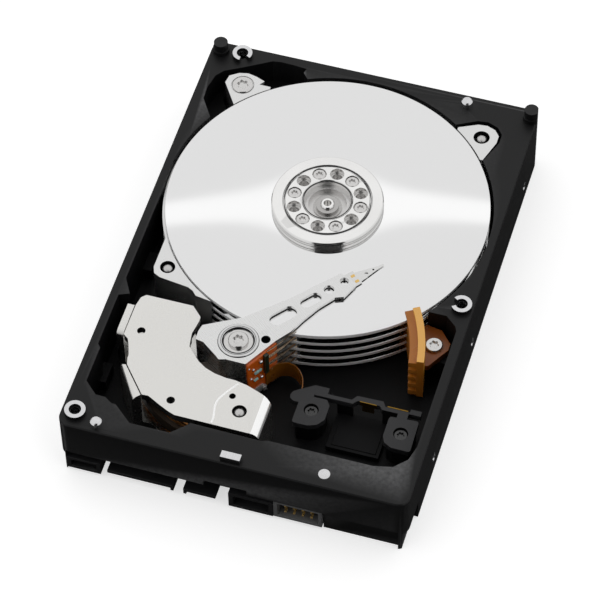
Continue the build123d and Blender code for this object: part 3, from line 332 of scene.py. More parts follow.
# materials
grainDepth = 0.02 * mm  # how far the finest grain stands out


def startMaterial(name):
    mat = bpy.data.materials.new(name)
    mat.use_nodes = True
    tree = mat.node_tree
    shader = tree.nodes["Principled BSDF"]
    return mat, tree, shader


def useGroup(tree, key, **values):
    n = tree.nodes.new("ShaderNodeGroup")
    n.node_tree = groups[key]
    for label, value in values.items():
        n.inputs[label.replace("_", " ")].default_value = value
    return n


def mixColours(tree, fac, a, b):
    n = tree.nodes.new("ShaderNodeMix")
    n.data_type = "RGBA"
    if isinstance(fac, (int, float)):
        n.inputs["Factor"].default_value = fac
    else:
        link(tree, fac, n.inputs["Factor"])
    for key, value in (("A", a), ("B", b)):
        socket = [s for s in n.inputs if s.name == key and s.type == "RGBA"][0]
        if isinstance(value, tuple):
            socket.default_value = (*value, 1.0)
        else:
            link(tree, value, socket)
    return [s for s in n.outputs if s.type == "RGBA"][0]


def bumpNode(tree, height, strength, distance):
    n = tree.nodes.new("ShaderNodeBump")
    n.inputs["Strength"].default_value = strength
    n.inputs["Distance"].default_value = distance
    link(tree, height, n.inputs["Height"])
    return n.outputs[0]


def cloudRoughness(tree, shader, clouds, low, high):
    # the roughness drifts between low and high with the slow clouds
    link(tree, rangeNode(tree, clouds, 0.3, 0.7, low, high), shader.inputs["Roughness"])


def metalMaterial(name, colour, dark, rough, spread, pattern="grain", bump=0.15, metallic=1.0, **settings):
    # metal whose pattern varies its colour, roughness and bump together
    mat, tree, shader = startMaterial(name)
    g = useGroup(tree, pattern, **settings)
    clouds = useGroup(tree, "grain", Fine_Scale=3000.0, Cloud_Scale=60.0)
    value = g.outputs[0]
    link(tree, mixColours(tree, value, dark, colour), shader.inputs["Base Color"])
    halves = (mathNode(tree, "MULTIPLY", half, 0.5) for half in (value, clouds.outputs["Clouds"]))
    cloudRoughness(tree, shader, mathNode(tree, "ADD", *halves), rough - spread, rough + spread)
    shader.inputs["Metallic"].default_value = metallic
    if bump > 0:
        link(tree, bumpNode(tree, value, bump, grainDepth), shader.inputs["Normal"])
    return mat


def plasticMaterial(name, colour, second, rough, bump=0.2, grain=5000.0, specular=0.5):
    # moulded plastic or paint: fine texture, slow changes of tone
    mat, tree, shader = startMaterial(name)
    g = useGroup(tree, "grain", Fine_Scale=grain, Cloud_Scale=55.0)
    link(tree, mixColours(tree, g.outputs["Clouds"], colour, second), shader.inputs["Base Color"])
    cloudRoughness(tree, shader, g.outputs["Clouds"], rough - 0.05, rough + 0.05)
    shader.inputs["Specular IOR Level"].default_value = specular
    link(tree, bumpNode(tree, g.outputs["Fine"], bump, grainDepth), shader.inputs["Normal"])
    return mat


def castingMaterial():
    # black coat over the casting, with a painted highlight: sharp edges are greyer, standing in for the light
    # caught along them
    black, softBlack, edgeHighlightGrey = (0.0068, 0.0068, 0.0072), (0.0076, 0.0076, 0.008), (0.26, 0.26, 0.265)
    mat, tree, shader = startMaterial("blackCoat")
    g = useGroup(tree, "grain", Fine_Scale=5500.0, Cloud_Scale=30.0)
    # painted highlight: the edge mask lightens the coat along sharp edges
    edgeLight = useGroup(tree, "edge", Low=0.53, High=0.66)
    base = mixColours(tree, g.outputs["Clouds"], black, softBlack)
    highlightShare = mathNode(tree, "MULTIPLY", edgeLight.outputs["Mask"], 0.5)
    link(tree, mixColours(tree, highlightShare, base, edgeHighlightGrey), shader.inputs["Base Color"])
    cloudRoughness(tree, shader, g.outputs["Clouds"], 0.40, 0.42)
    shader.inputs["Specular IOR Level"].default_value = 0.30
    link(tree, bumpNode(tree, g.outputs["Fine"], 0.10, grainDepth), shader.inputs["Normal"])
    return mat


def boardMaterial():
    # solder mask over copper: lines of track, and dots of tinned vias
    maskGreen, trackGreen, tin = (0.006, 0.055, 0.024), (0.014, 0.11, 0.05), (0.62, 0.60, 0.55)
    mat, tree, shader = startMaterial("solderMask")
    coords = tree.nodes.new("ShaderNodeTexCoord")
    g = useGroup(tree, "grain", Fine_Scale=4000.0, Cloud_Scale=80.0)
    tracks = tree.nodes.new("ShaderNodeTexBrick")
    link(tree, coords.outputs["Object"], tracks.inputs["Vector"])
    tracks.inputs["Scale"].default_value = 260.0
    tracks.inputs["Mortar Size"].default_value = 0.06
    track = rangeNode(tree, tracks.outputs["Fac"], 0.2, 0.8)
    dots = tree.nodes.new("ShaderNodeTexVoronoi")
    link(tree, coords.outputs["Object"], dots.inputs["Vector"])
    dots.inputs["Scale"].default_value = 330.0
    via = rangeNode(tree, dots.outputs["Distance"], 0.16, 0.20, 1.0, 0.0)
    mask = mixColours(tree, track, maskGreen, trackGreen)
    link(tree, mixColours(tree, via, mask, tin), shader.inputs["Base Color"])
    link(tree, via, shader.inputs["Metallic"])
    cloudRoughness(tree, shader, g.outputs["Clouds"], 0.25, 0.36)
    link(tree, bumpNode(tree, track, 0.3, 2 * grainDepth), shader.inputs["Normal"])
    return mat


def wellShadeMaterial():
    # painted shade: the same black coat made darker and more matt deep inside the casting, where little light
    # reaches
    black, softBlack = (0.0035, 0.0035, 0.004), (0.006, 0.006, 0.0065)
    mat, tree, shader = startMaterial("wellShadeCoat")
    g = useGroup(tree, "grain", Fine_Scale=5500.0, Cloud_Scale=35.0)
    link(tree, mixColours(tree, g.outputs["Clouds"], black, softBlack), shader.inputs["Base Color"])
    cloudRoughness(tree, shader, g.outputs["Clouds"], 0.42, 0.5)
    shader.inputs["Specular IOR Level"].default_value = 0.16
    link(tree, bumpNode(tree, g.outputs["Fine"], 0.2, 1.5 * grainDepth), shader.inputs["Normal"])
    return mat


roundSpindle = {"Centre_X": float(spindle[0]), "Centre_Y": float(spindle[1])}
roundPivot = {"Centre_X": float(pivot[0]), "Centre_Y": float(pivot[1])}
# a metal has two colours, roughness and its spread, a pattern and bump;
# a plastic has two colours, roughness and bump
mats = {
    "coat": castingMaterial(),
    "wellShade": wellShadeMaterial(),
    # painted highlight: the disc rims get a near-white, barely metallic finish so they stay bright where
    # mirror metal would show the dark gap
    "discEdgeHighlight": metalMaterial("discRimHighlight", (0.98, 0.98, 0.98), (0.92, 0.92, 0.92), 0.34, 0.05, "grain", 0.05,
                              metallic=0.1),
    "hubSatin": metalMaterial("hubSatin", (0.82, 0.81, 0.80), (0.68, 0.67, 0.66), 0.36, 0.05, "turned", 0.12,
                              **roundSpindle, Pitch_Scale=7000.0),
    "darkScrew": metalMaterial("darkScrew", (0.10, 0.10, 0.10), (0.05, 0.05, 0.05), 0.22, 0.06, "grain",
                               0.08),
    # painted shade inside holes; the same black also marks the dark joint seams round the pivot
    "holeDark": plasticMaterial("holeWallShadeAndSeam", (0.004, 0.004, 0.004), (0.006, 0.006, 0.006), 0.5, 0.1,
                                specular=0.2),
    "darkGold": metalMaterial("darkGold", (0.34, 0.20, 0.035), (0.22, 0.12, 0.02), 0.30, 0.05, "grain", 0.08),
    "wire": metalMaterial("wireTin", (0.78, 0.66, 0.50), (0.62, 0.44, 0.26), 0.24, 0.06, "grain", 0.05),
    "stud": metalMaterial("studSteel", (0.74, 0.73, 0.72), (0.60, 0.59, 0.58), 0.34, 0.05, "grain", 0.05,
                          metallic=0.8),
    "earSatin": metalMaterial("earAluminium", (0.86, 0.86, 0.855), (0.80, 0.80, 0.795), 0.30, 0.04,
                              "grain", 0.03),
    # painted highlight: a paler, barely metallic grey for the ears' bevelled edges
    "seamHighlight": metalMaterial("earEdgeHighlight", (0.62, 0.62, 0.62), (0.48, 0.48, 0.48), 0.40, 0.05, "grain", 0.03,
                                metallic=0.2),
    "clip": metalMaterial("clipSteel", (0.62, 0.61, 0.60), (0.50, 0.49, 0.48), 0.34, 0.05, "brushed", 0.1,
                          metallic=0.5),
    # painted highlight: near-white, barely metallic, and given a glow
    "bendLine": metalMaterial("bendLine", (0.98, 0.98, 0.97), (0.92, 0.92, 0.91), 0.45, 0.05, "grain", 0.05,
                              metallic=0.2),
    # painted shade: a near-black copy of the bracket's grey plastic
    "shelf": plasticMaterial("shelfShadePlastic", (0.004, 0.004, 0.0045), (0.006, 0.006, 0.0065), 0.55, 0.15,
                             specular=0.15),
    "darkGreen": plasticMaterial("chipGreen", (0.012, 0.020, 0.010), (0.018, 0.028, 0.014), 0.35, 0.1),
    "flexRed": plasticMaterial("flexBoardRed", (0.62, 0.075, 0.006), (0.78, 0.17, 0.012), 0.22, 0.08),
    "solder": metalMaterial("solderTin", (0.85, 0.85, 0.86), (0.70, 0.70, 0.71), 0.25, 0.06, "grain", 0.08),
    "cyan": plasticMaterial("componentCyan", (0.30, 0.62, 0.60), (0.42, 0.72, 0.70), 0.3, 0.08),
    "machined": metalMaterial("machinedRim", (0.86, 0.86, 0.87), (0.70, 0.70, 0.71), 0.24, 0.06, "brushed",
                              0.12, Stretch=(3000.0, 200.0, 3000.0)),
    "disc": metalMaterial("discMirror", (0.93, 0.93, 0.93), (0.915, 0.915, 0.915), 0.05, 0.012, "turned", 0.0,
                          **roundSpindle, Pitch_Scale=9000.0),
    "chrome": metalMaterial("clampChrome", (0.90, 0.89, 0.88), (0.80, 0.80, 0.79), 0.11, 0.04, "turned", 0.06,
                            **roundSpindle, Pitch_Scale=7000.0),
    "steel": metalMaterial("plainSteel", (0.60, 0.59, 0.58), (0.45, 0.44, 0.43), 0.28, 0.06, "grain", 0.1),
    "nickel": metalMaterial("platedNickel", (0.86, 0.85, 0.82), (0.80, 0.79, 0.765), 0.26, 0.04, "grain",
                            0.12),
    # painted highlight: whiter than the plating, and given a glow below
    "rolled": metalMaterial("rolledEdge", (1.0, 1.0, 1.0), (0.93, 0.93, 0.92), 0.22, 0.06, "brushed", 0.4,
                            Stretch=(120.0, 2200.0, 120.0)),
    "screw": metalMaterial("screwNickel", (0.78, 0.77, 0.76), (0.62, 0.61, 0.60), 0.17, 0.05, "grain", 0.05),
    "arm": metalMaterial("armAluminium", (0.86, 0.86, 0.855), (0.77, 0.77, 0.765), 0.27, 0.05, "brushed", 0.1,
                         Stretch=(2600.0, 160.0, 2600.0), Turn=-armAngle),
    "bearing": metalMaterial("bearingSteel", (0.80, 0.80, 0.80), (0.62, 0.62, 0.62), 0.13, 0.04, "turned",
                             0.05, **roundPivot, Pitch_Scale=9000.0),
    "spring": metalMaterial("springSteel", (0.80, 0.80, 0.79), (0.70, 0.70, 0.69), 0.18, 0.05, "brushed",
                            0.05, Stretch=(3500.0, 200.0, 3500.0), Turn=-armAngle),
    "magnet": metalMaterial("magnetPlating", (0.55, 0.55, 0.56), (0.42, 0.42, 0.43), 0.22, 0.06, "grain",
                            0.1),
    "copper": metalMaterial("coilWire", (0.72, 0.33, 0.10), (0.45, 0.17, 0.05), 0.32, 0.06, "brushed", 0.35,
                            Stretch=(400.0, 400.0, 9000.0)),
    "gold": metalMaterial("goldPlate", (0.95, 0.66, 0.24), (0.82, 0.52, 0.16), 0.26, 0.05, "grain", 0.08,
                          metallic=0.7),
    "blackPlastic": plasticMaterial("blackPlastic", (0.010, 0.010, 0.011), (0.016, 0.016, 0.017), 0.45),
    "greyPlastic": plasticMaterial("greyPlastic", (0.020, 0.020, 0.022), (0.026, 0.026, 0.028), 0.5, 0.15),
    "frameGrey": plasticMaterial("jumperGrey", (0.14, 0.141, 0.143), (0.17, 0.171, 0.173), 0.5),
    "amber": plasticMaterial("amberPlastic", (0.72, 0.30, 0.035), (0.82, 0.40, 0.06), 0.28, 0.1),
    # the deeper amber of the ramp's toothed strip, also used as painted shade on its front faces
    "amberDeepAndShade": plasticMaterial("amberDeepAndShade", (0.40, 0.13, 0.012), (0.50, 0.17, 0.018), 0.30, 0.1),
    # painted highlight: the palest amber for the ramp's top
    "amberPaleHighlight": plasticMaterial("amberPaleHighlight", (0.90, 0.46, 0.10), (0.95, 0.52, 0.13), 0.26, 0.1),
    "brown": plasticMaterial("brownPlastic", (0.29, 0.075, 0.007), (0.34, 0.095, 0.010), 0.32, 0.1),
    "coilFrame": plasticMaterial("coilFramePlastic", (0.05, 0.035, 0.025), (0.07, 0.05, 0.035), 0.4),
    "polyimide": plasticMaterial("polyimideFilm", (0.22, 0.072, 0.005), (0.30, 0.105, 0.007), 0.14, 0.04),
    "board": boardMaterial(),
    "ceramic": plasticMaterial("chipEpoxy", (0.015, 0.015, 0.016), (0.022, 0.022, 0.023), 0.4, 0.3),
    "foam": plasticMaterial("foamPad", (0.02, 0.02, 0.022), (0.03, 0.03, 0.032), 0.9, 0.8, 2500.0),
    "rubber": plasticMaterial("bumperRubber", (0.02, 0.018, 0.016), (0.03, 0.027, 0.024), 0.6, 0.3),
}
print("materials ready:", len(mats))


# mesh helpers
def addPiece(name, mesh, body, material, replaced=()):
    # a finished piece: its materials, the body it moves with and the CAD nodes that it stands in for
    obj = bpy.data.objects.new(name, mesh)
    bpy.context.scene.collection.objects.link(obj)
    for key in ([material] if isinstance(material, str) else material):
        mesh.materials.append(mats[key])
    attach(obj, body)
    if replaced:
        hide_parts(*replaced)
    return obj


def meshFromQuads(name, verts, quads, smooth=True):
    mesh = bpy.data.meshes.new(name)
    mesh.from_pydata(np.asarray(verts).reshape(-1, 3).tolist(), [], [list(map(int, q)) for q in quads])
    mesh.validate()
    mesh.polygons.foreach_set("use_smooth", np.full(len(mesh.polygons), smooth))
    mesh.update()
    return mesh


def turnOutwards(mesh, weld=0.0001 * mm):
    # near points become one, then every face is turned to point outwards
    bm = bmesh.new()
    bm.from_mesh(mesh)
    if weld:
        bmesh.ops.remove_doubles(bm, verts=bm.verts, dist=weld)
    bmesh.ops.recalc_face_normals(bm, faces=bm.faces)
    bm.to_mesh(mesh)
    bm.free()


def facts(mesh, what):
    # one row of three numbers per face
    values = np.empty(len(mesh.polygons) * 3)
    mesh.polygons.foreach_get(what, values)
    return values.reshape(-1, 3)


def faceSlots(mesh):
    # the number of each face's material
    index = np.zeros(len(mesh.polygons), int)
    mesh.polygons.foreach_get("material_index", index)
    return index


def gridQuads(rows, cols, closeRows=False, closeCols=False):
    # index quads of a rows x cols grid; a closed direction joins its last line to its first
    r = np.arange(rows if closeRows else rows - 1)
    c = np.arange(cols if closeCols else cols - 1)
    rr, cc = np.meshgrid(r, c, indexing="ij")
    r2, c2 = (rr + 1) % rows, (cc + 1) % cols
    return np.stack([rr * cols + cc, rr * cols + c2, r2 * cols + c2, r2 * cols + cc], -1).reshape(-1, 4)


def latheMesh(name, centre, profile, steps=128):
    # each profile point (radius, height) is carried round the upright axis through centre:
    # x and y are the centre plus radius times the cosine and sine of the angle, z is the height
    profile = np.asarray(profile, float)
    angle = np.linspace(0, 2 * pi, steps, endpoint=False)
    x = centre[0] + profile[:, :1] * np.cos(angle)
    y = centre[1] + profile[:, :1] * np.sin(angle)
    z = np.repeat(profile[:, 1:2], steps, 1)
    verts = np.stack([x, y, z], -1)
    closed = bool(np.allclose(profile[0], profile[-1]))
    if closed:
        verts = verts[:-1]
    quads = gridQuads(len(verts), steps, closed, True)
    mesh = meshFromQuads(name, verts, quads)
    turnOutwards(mesh)
    mesh.set_sharp_from_angle(angle=radians(32))
    return mesh


def refined(node, material, bevel=0.12, angle=35.0, segments=2, rename=None):
    # a welded copy of a CAD node with rounded edges and smooth round walls
    mesh = nodes[node].data.copy()
    mesh.materials.clear()
    bm = bmesh.new()
    bm.from_mesh(mesh)
    bmesh.ops.remove_doubles(bm, verts=bm.verts, dist=0.002 * mm)
    flat = radians(0.6)
    bmesh.ops.dissolve_limit(bm, angle_limit=flat, verts=bm.verts, edges=bm.edges, delimit={"NORMAL"})
    bm.to_mesh(mesh)
    bm.free()
    mesh.polygons.foreach_set("use_smooth", np.full(len(mesh.polygons), True))
    mesh.set_sharp_from_angle(angle=radians(angle))
    obj = addPiece(rename or node + "_skin", mesh, nodes[node]["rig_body"], material, (node,))
    if bevel > 0:
        mod = obj.modifiers.new("edges", "BEVEL")
        mod.width = bevel * mm
        mod.segments = segments
        mod.limit_method = "ANGLE"
        mod.angle_limit = radians(angle)
        mod.use_clamp_overlap = True
        mod.harden_normals = True
    return obj


def curveThrough(points, steps):
    # smooth path through the points: each span is a cubic that takes its end slopes from its neighbours
    p = np.asarray(points, float)
    p = np.vstack([2 * p[0] - p[1], p, 2 * p[-1] - p[-2]])
    t = np.linspace(0, 1, steps, endpoint=False)[:, None]
    spans = []
    for a, b, c, d in zip(p, p[1:], p[2:], p[3:]):
        square, cube = 2 * a - 5 * b + 4 * c - d, 3 * b - a - 3 * c + d
        spans.append(0.5 * (2 * b + (c - a) * t + square * t ** 2 + cube * t ** 3))
    return np.vstack(spans + [p[-2:-1]])


def tubeGrid(path, radius, sides):
    # circles set square to the path, joined into a tube: each is the path point plus radius times
    # the cosine across and the sine up; returns points and faces with closed ends
    path = np.asarray(path, float)
    along = np.gradient(path, axis=0)
    along /= np.linalg.norm(along, axis=1, keepdims=True)
    across = np.cross(along, (0.0, 0.0, 1.0))
    across /= np.maximum(np.linalg.norm(across, axis=1, keepdims=True), 1e-9)
    up = np.cross(across, along)
    angle = np.linspace(0, 2 * pi, sides, endpoint=False)[None, :, None]
    ringPoints = path[:, None] + radius * (np.cos(angle) * across[:, None] + np.sin(angle) * up[:, None])
    faces = [list(q) for q in gridQuads(len(path), sides, False, True)[:, ::-1]]
    faces.append(list(range(sides)))
    faces.append([(len(path) - 1) * sides + i for i in range(sides)][::-1])
    return ringPoints.reshape(-1, 3), faces


def joined(name, pieces, smooth=True):
    # several point-and-face sets in one mesh
    verts, faces, start = [], [], 0
    for points, polygons in pieces:
        verts.append(points)
        faces += [[start + int(i) for i in f] for f in polygons]
        start += len(points)
    mesh = bpy.data.meshes.new(name)
    mesh.from_pydata(np.vstack(verts).tolist(), [], faces)
    mesh.validate()
    turnOutwards(mesh, 0)
    mesh.polygons.foreach_set("use_smooth", np.full(len(mesh.polygons), smooth))
    mesh.set_sharp_from_angle(angle=radians(40))
    return mesh


def pillow(centre, axes, sizes, corner=0.18, sides=16, squareness=0.35):
    # a block with rounded sides: three stacked outlines, the top one drawn in; an outline's
    # x and y are the cosine and sine raised to a small power, which swells the circle to a square
    a, b, c = (np.asarray(v, float) for v in axes)
    turn = np.linspace(0, 2 * pi, sides, endpoint=False)
    x = np.sign(np.cos(turn)) * np.abs(np.cos(turn)) ** squareness
    y = np.sign(np.sin(turn)) * np.abs(np.sin(turn)) ** squareness
    layers = []
    for height, shrink in ((0.0, 1.0), (1.0 - corner, 1.0), (1.0, 1.0 - corner)):
        wide, deep = sizes[0] / 2 * shrink * x, sizes[1] / 2 * shrink * y
        layers.append(np.asarray(centre) + a * wide[:, None] + b * deep[:, None] + c * sizes[2] * height)
    faces = [list(q) for q in gridQuads(3, sides, False, True)]
    faces += [list(range(sides))[::-1], list(range(2 * sides, 3 * sides))]
    return np.vstack(layers), faces


def paint(node, key):
    # a CAD node keeps its own mesh and gets one material
    mesh = nodes[node].data
    if mesh.materials:
        for i in range(len(mesh.materials)):
            mesh.materials[i] = mats[key]
    else:
        mesh.materials.append(mats[key])


# CAD nodes that keep their shape
paintPlan = {
    "steel": ("stator_core", "bearing_sleeve", "magnet_standoff"),
    "copper": ("stator_coils", "voice_coil"),
    "hubSatin": ("spindle_hub",),
    "magnet": ("rotor_magnet", "magnet_top", "magnet_bottom"),
    "chrome": ("platter_spacers", "spindle_shaft"),
    "bearing": ("bearing_inner_races", "bearing_outer_races", "bearing_balls", "pivot_shaft"),
    "rubber": ("crash_stops",),
    "coilFrame": ("coil_frame",),
    "shelf": ("preamp_header",),
    "darkGold": ("flex_contacts",),
    "ceramic": ("head_sliders", "controller_chip", "memory_chip", "motor_driver_chip"),
    "foam": ("foam_pad",),
    "gold": ("sata_contacts",),
    "darkGreen": ("preamp_chip",),
    "board": ("pcb",),
    "spring": ("suspensions",),
}
for key, names in paintPlan.items():
    for node in names:
        paint(node, key)

# material and the width of the rounded edges in millimetres
refinePlan = {
    "disc_clamp": ("chrome", 0.10),
    "clamp_screws": ("screw", 0.05),
    "actuator_block": ("arm", 0.10),
    "pivot_sleeve": ("bearing", 0.15),
    "pivot_screw": ("screw", 0.06),
    "magnet_plate_top": ("nickel", 0.30),
    "separator_screw": ("screw", 0.08),
    "magnet_plate_bottom": ("nickel", 0.30),
    "ramp_screw": ("screw", 0.06),
    "flex_bracket": ("greyPlastic", 0.12),
    "bracket_screws": ("darkScrew", 0.05),
    "locating_pins": ("machined", 0.10),
    "sata_connector": ("blackPlastic", 0.10),
    "jumper_block": ("frameGrey", 0.08),
    "jumper_pins": ("gold", 0.05),
    "pcb_screws": ("screw", 0.05),
}
for node, (key, width) in refinePlan.items():
    refined(node, key, width)
# painted highlight: the ears' bevel faces take the second, brighter material, so the stacked plates show
# light lines along their edges
for i in range(1, 5):
    ear = refined(f"separator_plate_{i}", ("earSatin", "seamHighlight"), 0.18)
    ear.modifiers["edges"].material = 1


# millimetres from the pivot or the spindle, and a radius
holes = {
    "plate": ((-28.0, -3.1, 1.3), (-12.5, -23.7, 1.3), (3.7, -17.6, 1.05), (7.1, -22.0, 2.2)),
    "ear": ((36.5, 37.4, 2.6), (-37.9, -34.3, 2.6)),
    "block": ((7.3, 2.6, 1.35),),
    "bracket": ((24.6, -10.9, 2.2), (51.0, -11.8, 2.2)),
}


def shadeHoles(node, origin, spots, depth=3.5):
    # painted shade: walls and steps of holes get the near-black material for the shade inside them: faces
    # near an upright axis that are not the top
    mesh = bpy.data.objects[node + "_skin"].data
    mesh.materials.append(mats["holeDark"])
    normal, centre = facts(mesh, "normal"), facts(mesh, "center")
    index = faceSlots(mesh)
    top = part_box(node)[1][2]
    for dx, dy, radius in spots:
        x, y = origin[0] + dx * mm, origin[1] + dy * mm
        near = np.hypot(centre[:, 0] - x, centre[:, 1] - y) < radius * mm
        inside = (np.abs(normal[:, 2]) < 0.6) | (centre[:, 2] < top - 0.5 * mm)
        index[near & inside & (centre[:, 2] > top - depth * mm)] = len(mesh.materials) - 1
    mesh.polygons.foreach_set("material_index", index)


shadeHoles("magnet_plate_top", pivot, holes["plate"])
shadeHoles("actuator_block", pivot, holes["block"])
shadeHoles("separator_plate_1", spindle, holes["ear"])
shadeHoles("flex_bracket", pivot, holes["bracket"], 2.5)
print("CAD pieces dressed")


# rolled end of the upper magnet plate, with a painted highlight
roll = {"from": 11.8, "upward": 0.35, "glow": 0.14}


def paintRollHighlight(d):
    # painted highlight: upward faces of the bend get a whiter copy of the plating that glows a little,
    # standing in for the light along the roll; the bend also has marks across it where the sheet was drawn
    # round the tool
    mesh = bpy.data.objects["magnet_plate_top_skin"].data
    mesh.materials.append(mats["rolled"])
    index = faceSlots(mesh)
    beyond = facts(mesh, "center")[:, 0] > pivot[0] + d["from"] * mm
    upward = facts(mesh, "normal")[:, 2] > d["upward"]
    index[beyond & (index == 0) & upward] = len(mesh.materials) - 1
    mesh.polygons.foreach_set("material_index", index)


def glow(key, strength):
    # painted highlight: a faint light of its own keeps a bright line bright where the room gives it little to
    # mirror
    shader = mats[key].node_tree.nodes["Principled BSDF"]
    shader.inputs["Emission Color"].default_value = (1.0, 1.0, 1.0, 1.0)
    shader.inputs["Emission Strength"].default_value = strength


paintRollHighlight(roll)
glow("rolled", roll["glow"])


# painted shade: the bracket's lower shelf lies in the dark, and its faces get a near-black copy of the grey
# plastic
def shadeShelf(drop=2.1):
    mesh = bpy.data.objects["flex_bracket_skin"].data
    mesh.materials.append(mats["shelf"])
    index = faceSlots(mesh)
    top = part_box("flex_bracket")[1][2]
    index[facts(mesh, "center")[:, 2] < top - drop * mm] = len(mesh.materials) - 1
    mesh.polygons.foreach_set("material_index", index)


shadeShelf()


# discs
disc = {"outer": 47.5, "inner": 12.52, "edge": 0.12, "rimSteps": 5, "around": 256, "rimFrom": 40}


def buildDisc(node, d):
    # lathe profile: flat faces joined by quarter-round rims
    low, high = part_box(node)
    outer, inner, e = d["outer"] * mm, d["inner"] * mm, d["edge"] * mm
    t = np.linspace(0, pi / 2, d["rimSteps"])
    profile = [(inner, low[2]), (inner, high[2])]
    profile += [(outer - e + e * sin(a), high[2] - e + e * cos(a)) for a in t]
    profile += [(outer - e + e * cos(a), low[2] + e - e * sin(a)) for a in t]
    profile.append((inner, low[2]))
    mesh = latheMesh(node + "_disc", spindle, profile, d["around"])
    addPiece(node + "_disc", mesh, "spindle", ("disc", "discEdgeHighlight"), (node,))
    normal, centre = facts(mesh, "normal"), facts(mesh, "center")
    reach = np.hypot(centre[:, 0] - spindle[0], centre[:, 1] - spindle[1])
    # painted highlight: rim faces near the outer edge take the bright rim material
    rim = (np.abs(normal[:, 2]) < 0.75) & (reach > d["rimFrom"] * mm)
    mesh.polygons.foreach_set("material_index", rim.astype(int))


for i in range(1, 6):
    buildDisc(f"platter_{i}", disc)
print("discs turned")


# bright spots on the casting
casting = {
    "edge": 0.22,
    "proud": 1.3,  # faces this far above the deck are bare
    "blackPosts": ((-47.7, 69.8), (48.9, 69.8)),
    "postReach": 2.7,
    "holeReach": 1.06,  # of the hole's own radius
    "holeDepth": 9,
    "wellDepth": 1.5,  # well faces lie deeper than this below the deck,
    "wellLow": 5,  # higher than this over the drive's underside
    "wellHalf": (48.3, 70),  # and this near to its middle
}


def castingSkin(d):
    # upward faces above the deck and the walls of the tapped holes are bare metal
    mesh = refined("base_casting", ("coat", "machined", "wellShade"), d["edge"]).data
    normal, centre = facts(mesh, "normal"), facts(mesh, "center")
    bright = (normal[:, 2] > 0.9) & (centre[:, 2] > deckZ + d["proud"] * mm)
    # faces square to an axis are truly flat
    mesh.polygons.foreach_set("use_smooth", np.abs(normal).max(axis=1) < 0.9995)
    for x, y in d["blackPosts"]:
        bright &= np.hypot(centre[:, 0] - x * mm, centre[:, 1] - y * mm) > d["postReach"] * mm
    for mount in frame["record"]["mounts"]:
        if mount["kind"] not in ("threaded_hole", "bolt_pattern") or "pos_m" not in mount:
            continue
        spots = holePlaces(mount)
        axis = np.abs(np.array(mount["axis"], float))
        radius = mount["dims"].get("r_mm", mount["dims"].get("hole_r_mm", 0)) * mm
        for spot in spots:
            away = (centre - spot) * (1 - axis)
            near = np.linalg.norm(away, axis=1) < radius * d["holeReach"]
            along = np.abs((centre - spot) @ axis) < d["holeDepth"] * mm
            bright |= near & along & (np.abs(normal @ axis) < 0.3)
    index = bright.astype(int)
    # painted shade: faces deep in the wells take the darker copy of the coat
    deep = (centre[:, 2] < deckZ - d["wellDepth"] * mm) & (centre[:, 2] > d["wellLow"] * mm)
    within = (np.abs(centre[:, :2]) < np.array(d["wellHalf"]) * mm).all(axis=1)
    index[~bright & deep & within] = 2
    mesh.polygons.foreach_set("material_index", index)


def holePlaces(mount):
    # the holes of a pattern lie either side of its centre along the row axes square to its own axis
    centre = np.array(mount["pos_m"], float)
    others = [i for i in range(3) if abs(mount["axis"][i]) < 0.5]
    gaps = [mount["dims"].get(k, 0) * mm / 2 for k in ("spacing_x_mm", "spacing_y_mm")]
    places = []
    for a in ((-1, 1) if gaps[0] else (0,)):
        for b in ((-1, 1) if gaps[1] else (0,)):
            place = centre.copy()
            place[others[0]] += a * gaps[0]
            place[others[1]] += b * gaps[1]
            places.append(place)
    return places


castingSkin(casting)
print("casting dressed")


# places on the actuator
# the board's two ends on the block's side are millimetres from the pivot
blockSide = {"armEnd": (10.2, 3.1), "tail": (4.3, -7.2), "arms": 6, "armHalf": 0.45}
blockLow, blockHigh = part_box("actuator_block")
topArm, lowArm = blockHigh[2] - blockSide["armHalf"] * mm, blockLow[2] + blockSide["armHalf"] * mm
armLevels = np.linspace(topArm, lowArm, blockSide["arms"])


def armPoint(u, v, z):
    # u along the arm and v across it, in millimetres from the pivot; z in metres
    c, s = cos(armAngle), sin(armAngle)
    return np.array([pivot[0] + (u * c - v * s) * mm, pivot[1] + (u * s + v * c) * mm, z])


sideA = pivot + np.array(blockSide["armEnd"]) * mm
sideB = pivot + np.array(blockSide["tail"]) * mm
sideLength = float(np.linalg.norm(sideB - sideA))
sideAlong = (sideB - sideA) / sideLength
sideOut = np.array([-sideAlong[1], sideAlong[0]])


def boardPoint(share, out, z):
    # share runs from the arm end to the tail of the flex board, out is millimetres off the block
    flat = sideA + sideAlong * share * sideLength + sideOut * out * mm
    return np.array([flat[0], flat[1], z])


# flex board with its parts and wires
flexBoard = {
    "thick": 0.5,
    "shares": (0.02, 0.98, 25),  # first, last and count of its columns
    "rows": 13,
    # share along the board, height and radius
    "blobs": [(0.56, 19.9, 0.60), (0.80, 18.6, 0.36), (0.88, 15.0, 0.34), (0.55, 12.6, 0.50),
              (0.93, 20.3, 0.26)],
    # share, height, width and depth
    "bars": [(0.66, 16.4, 2.7, 0.9), (0.74, 13.4, 1.6, 0.6)],
    # share, stand-off, height over the board's foot and three sizes
    "clip": [(0.74, 0.02, 1.5, (5.6, 3.0, 0.3)), (0.50, 0.04, 0.9, (1.4, 1.8, 0.9))],
    "wireRows": 4,
    "wireGap": 0.341,
    "wireRadius": 0.15,
    # share, stand-off and drop on the board, then along, across and gap on the arm
    "wireStart": ((0.34, 0.05, 0.0), (0.18, 0.22, 0.1), (0.0, 0.30, 0.0)),
    "wireEnd": ((11.5, -6.35, 0.2), (16.0, -5.35, 0.12)),
}


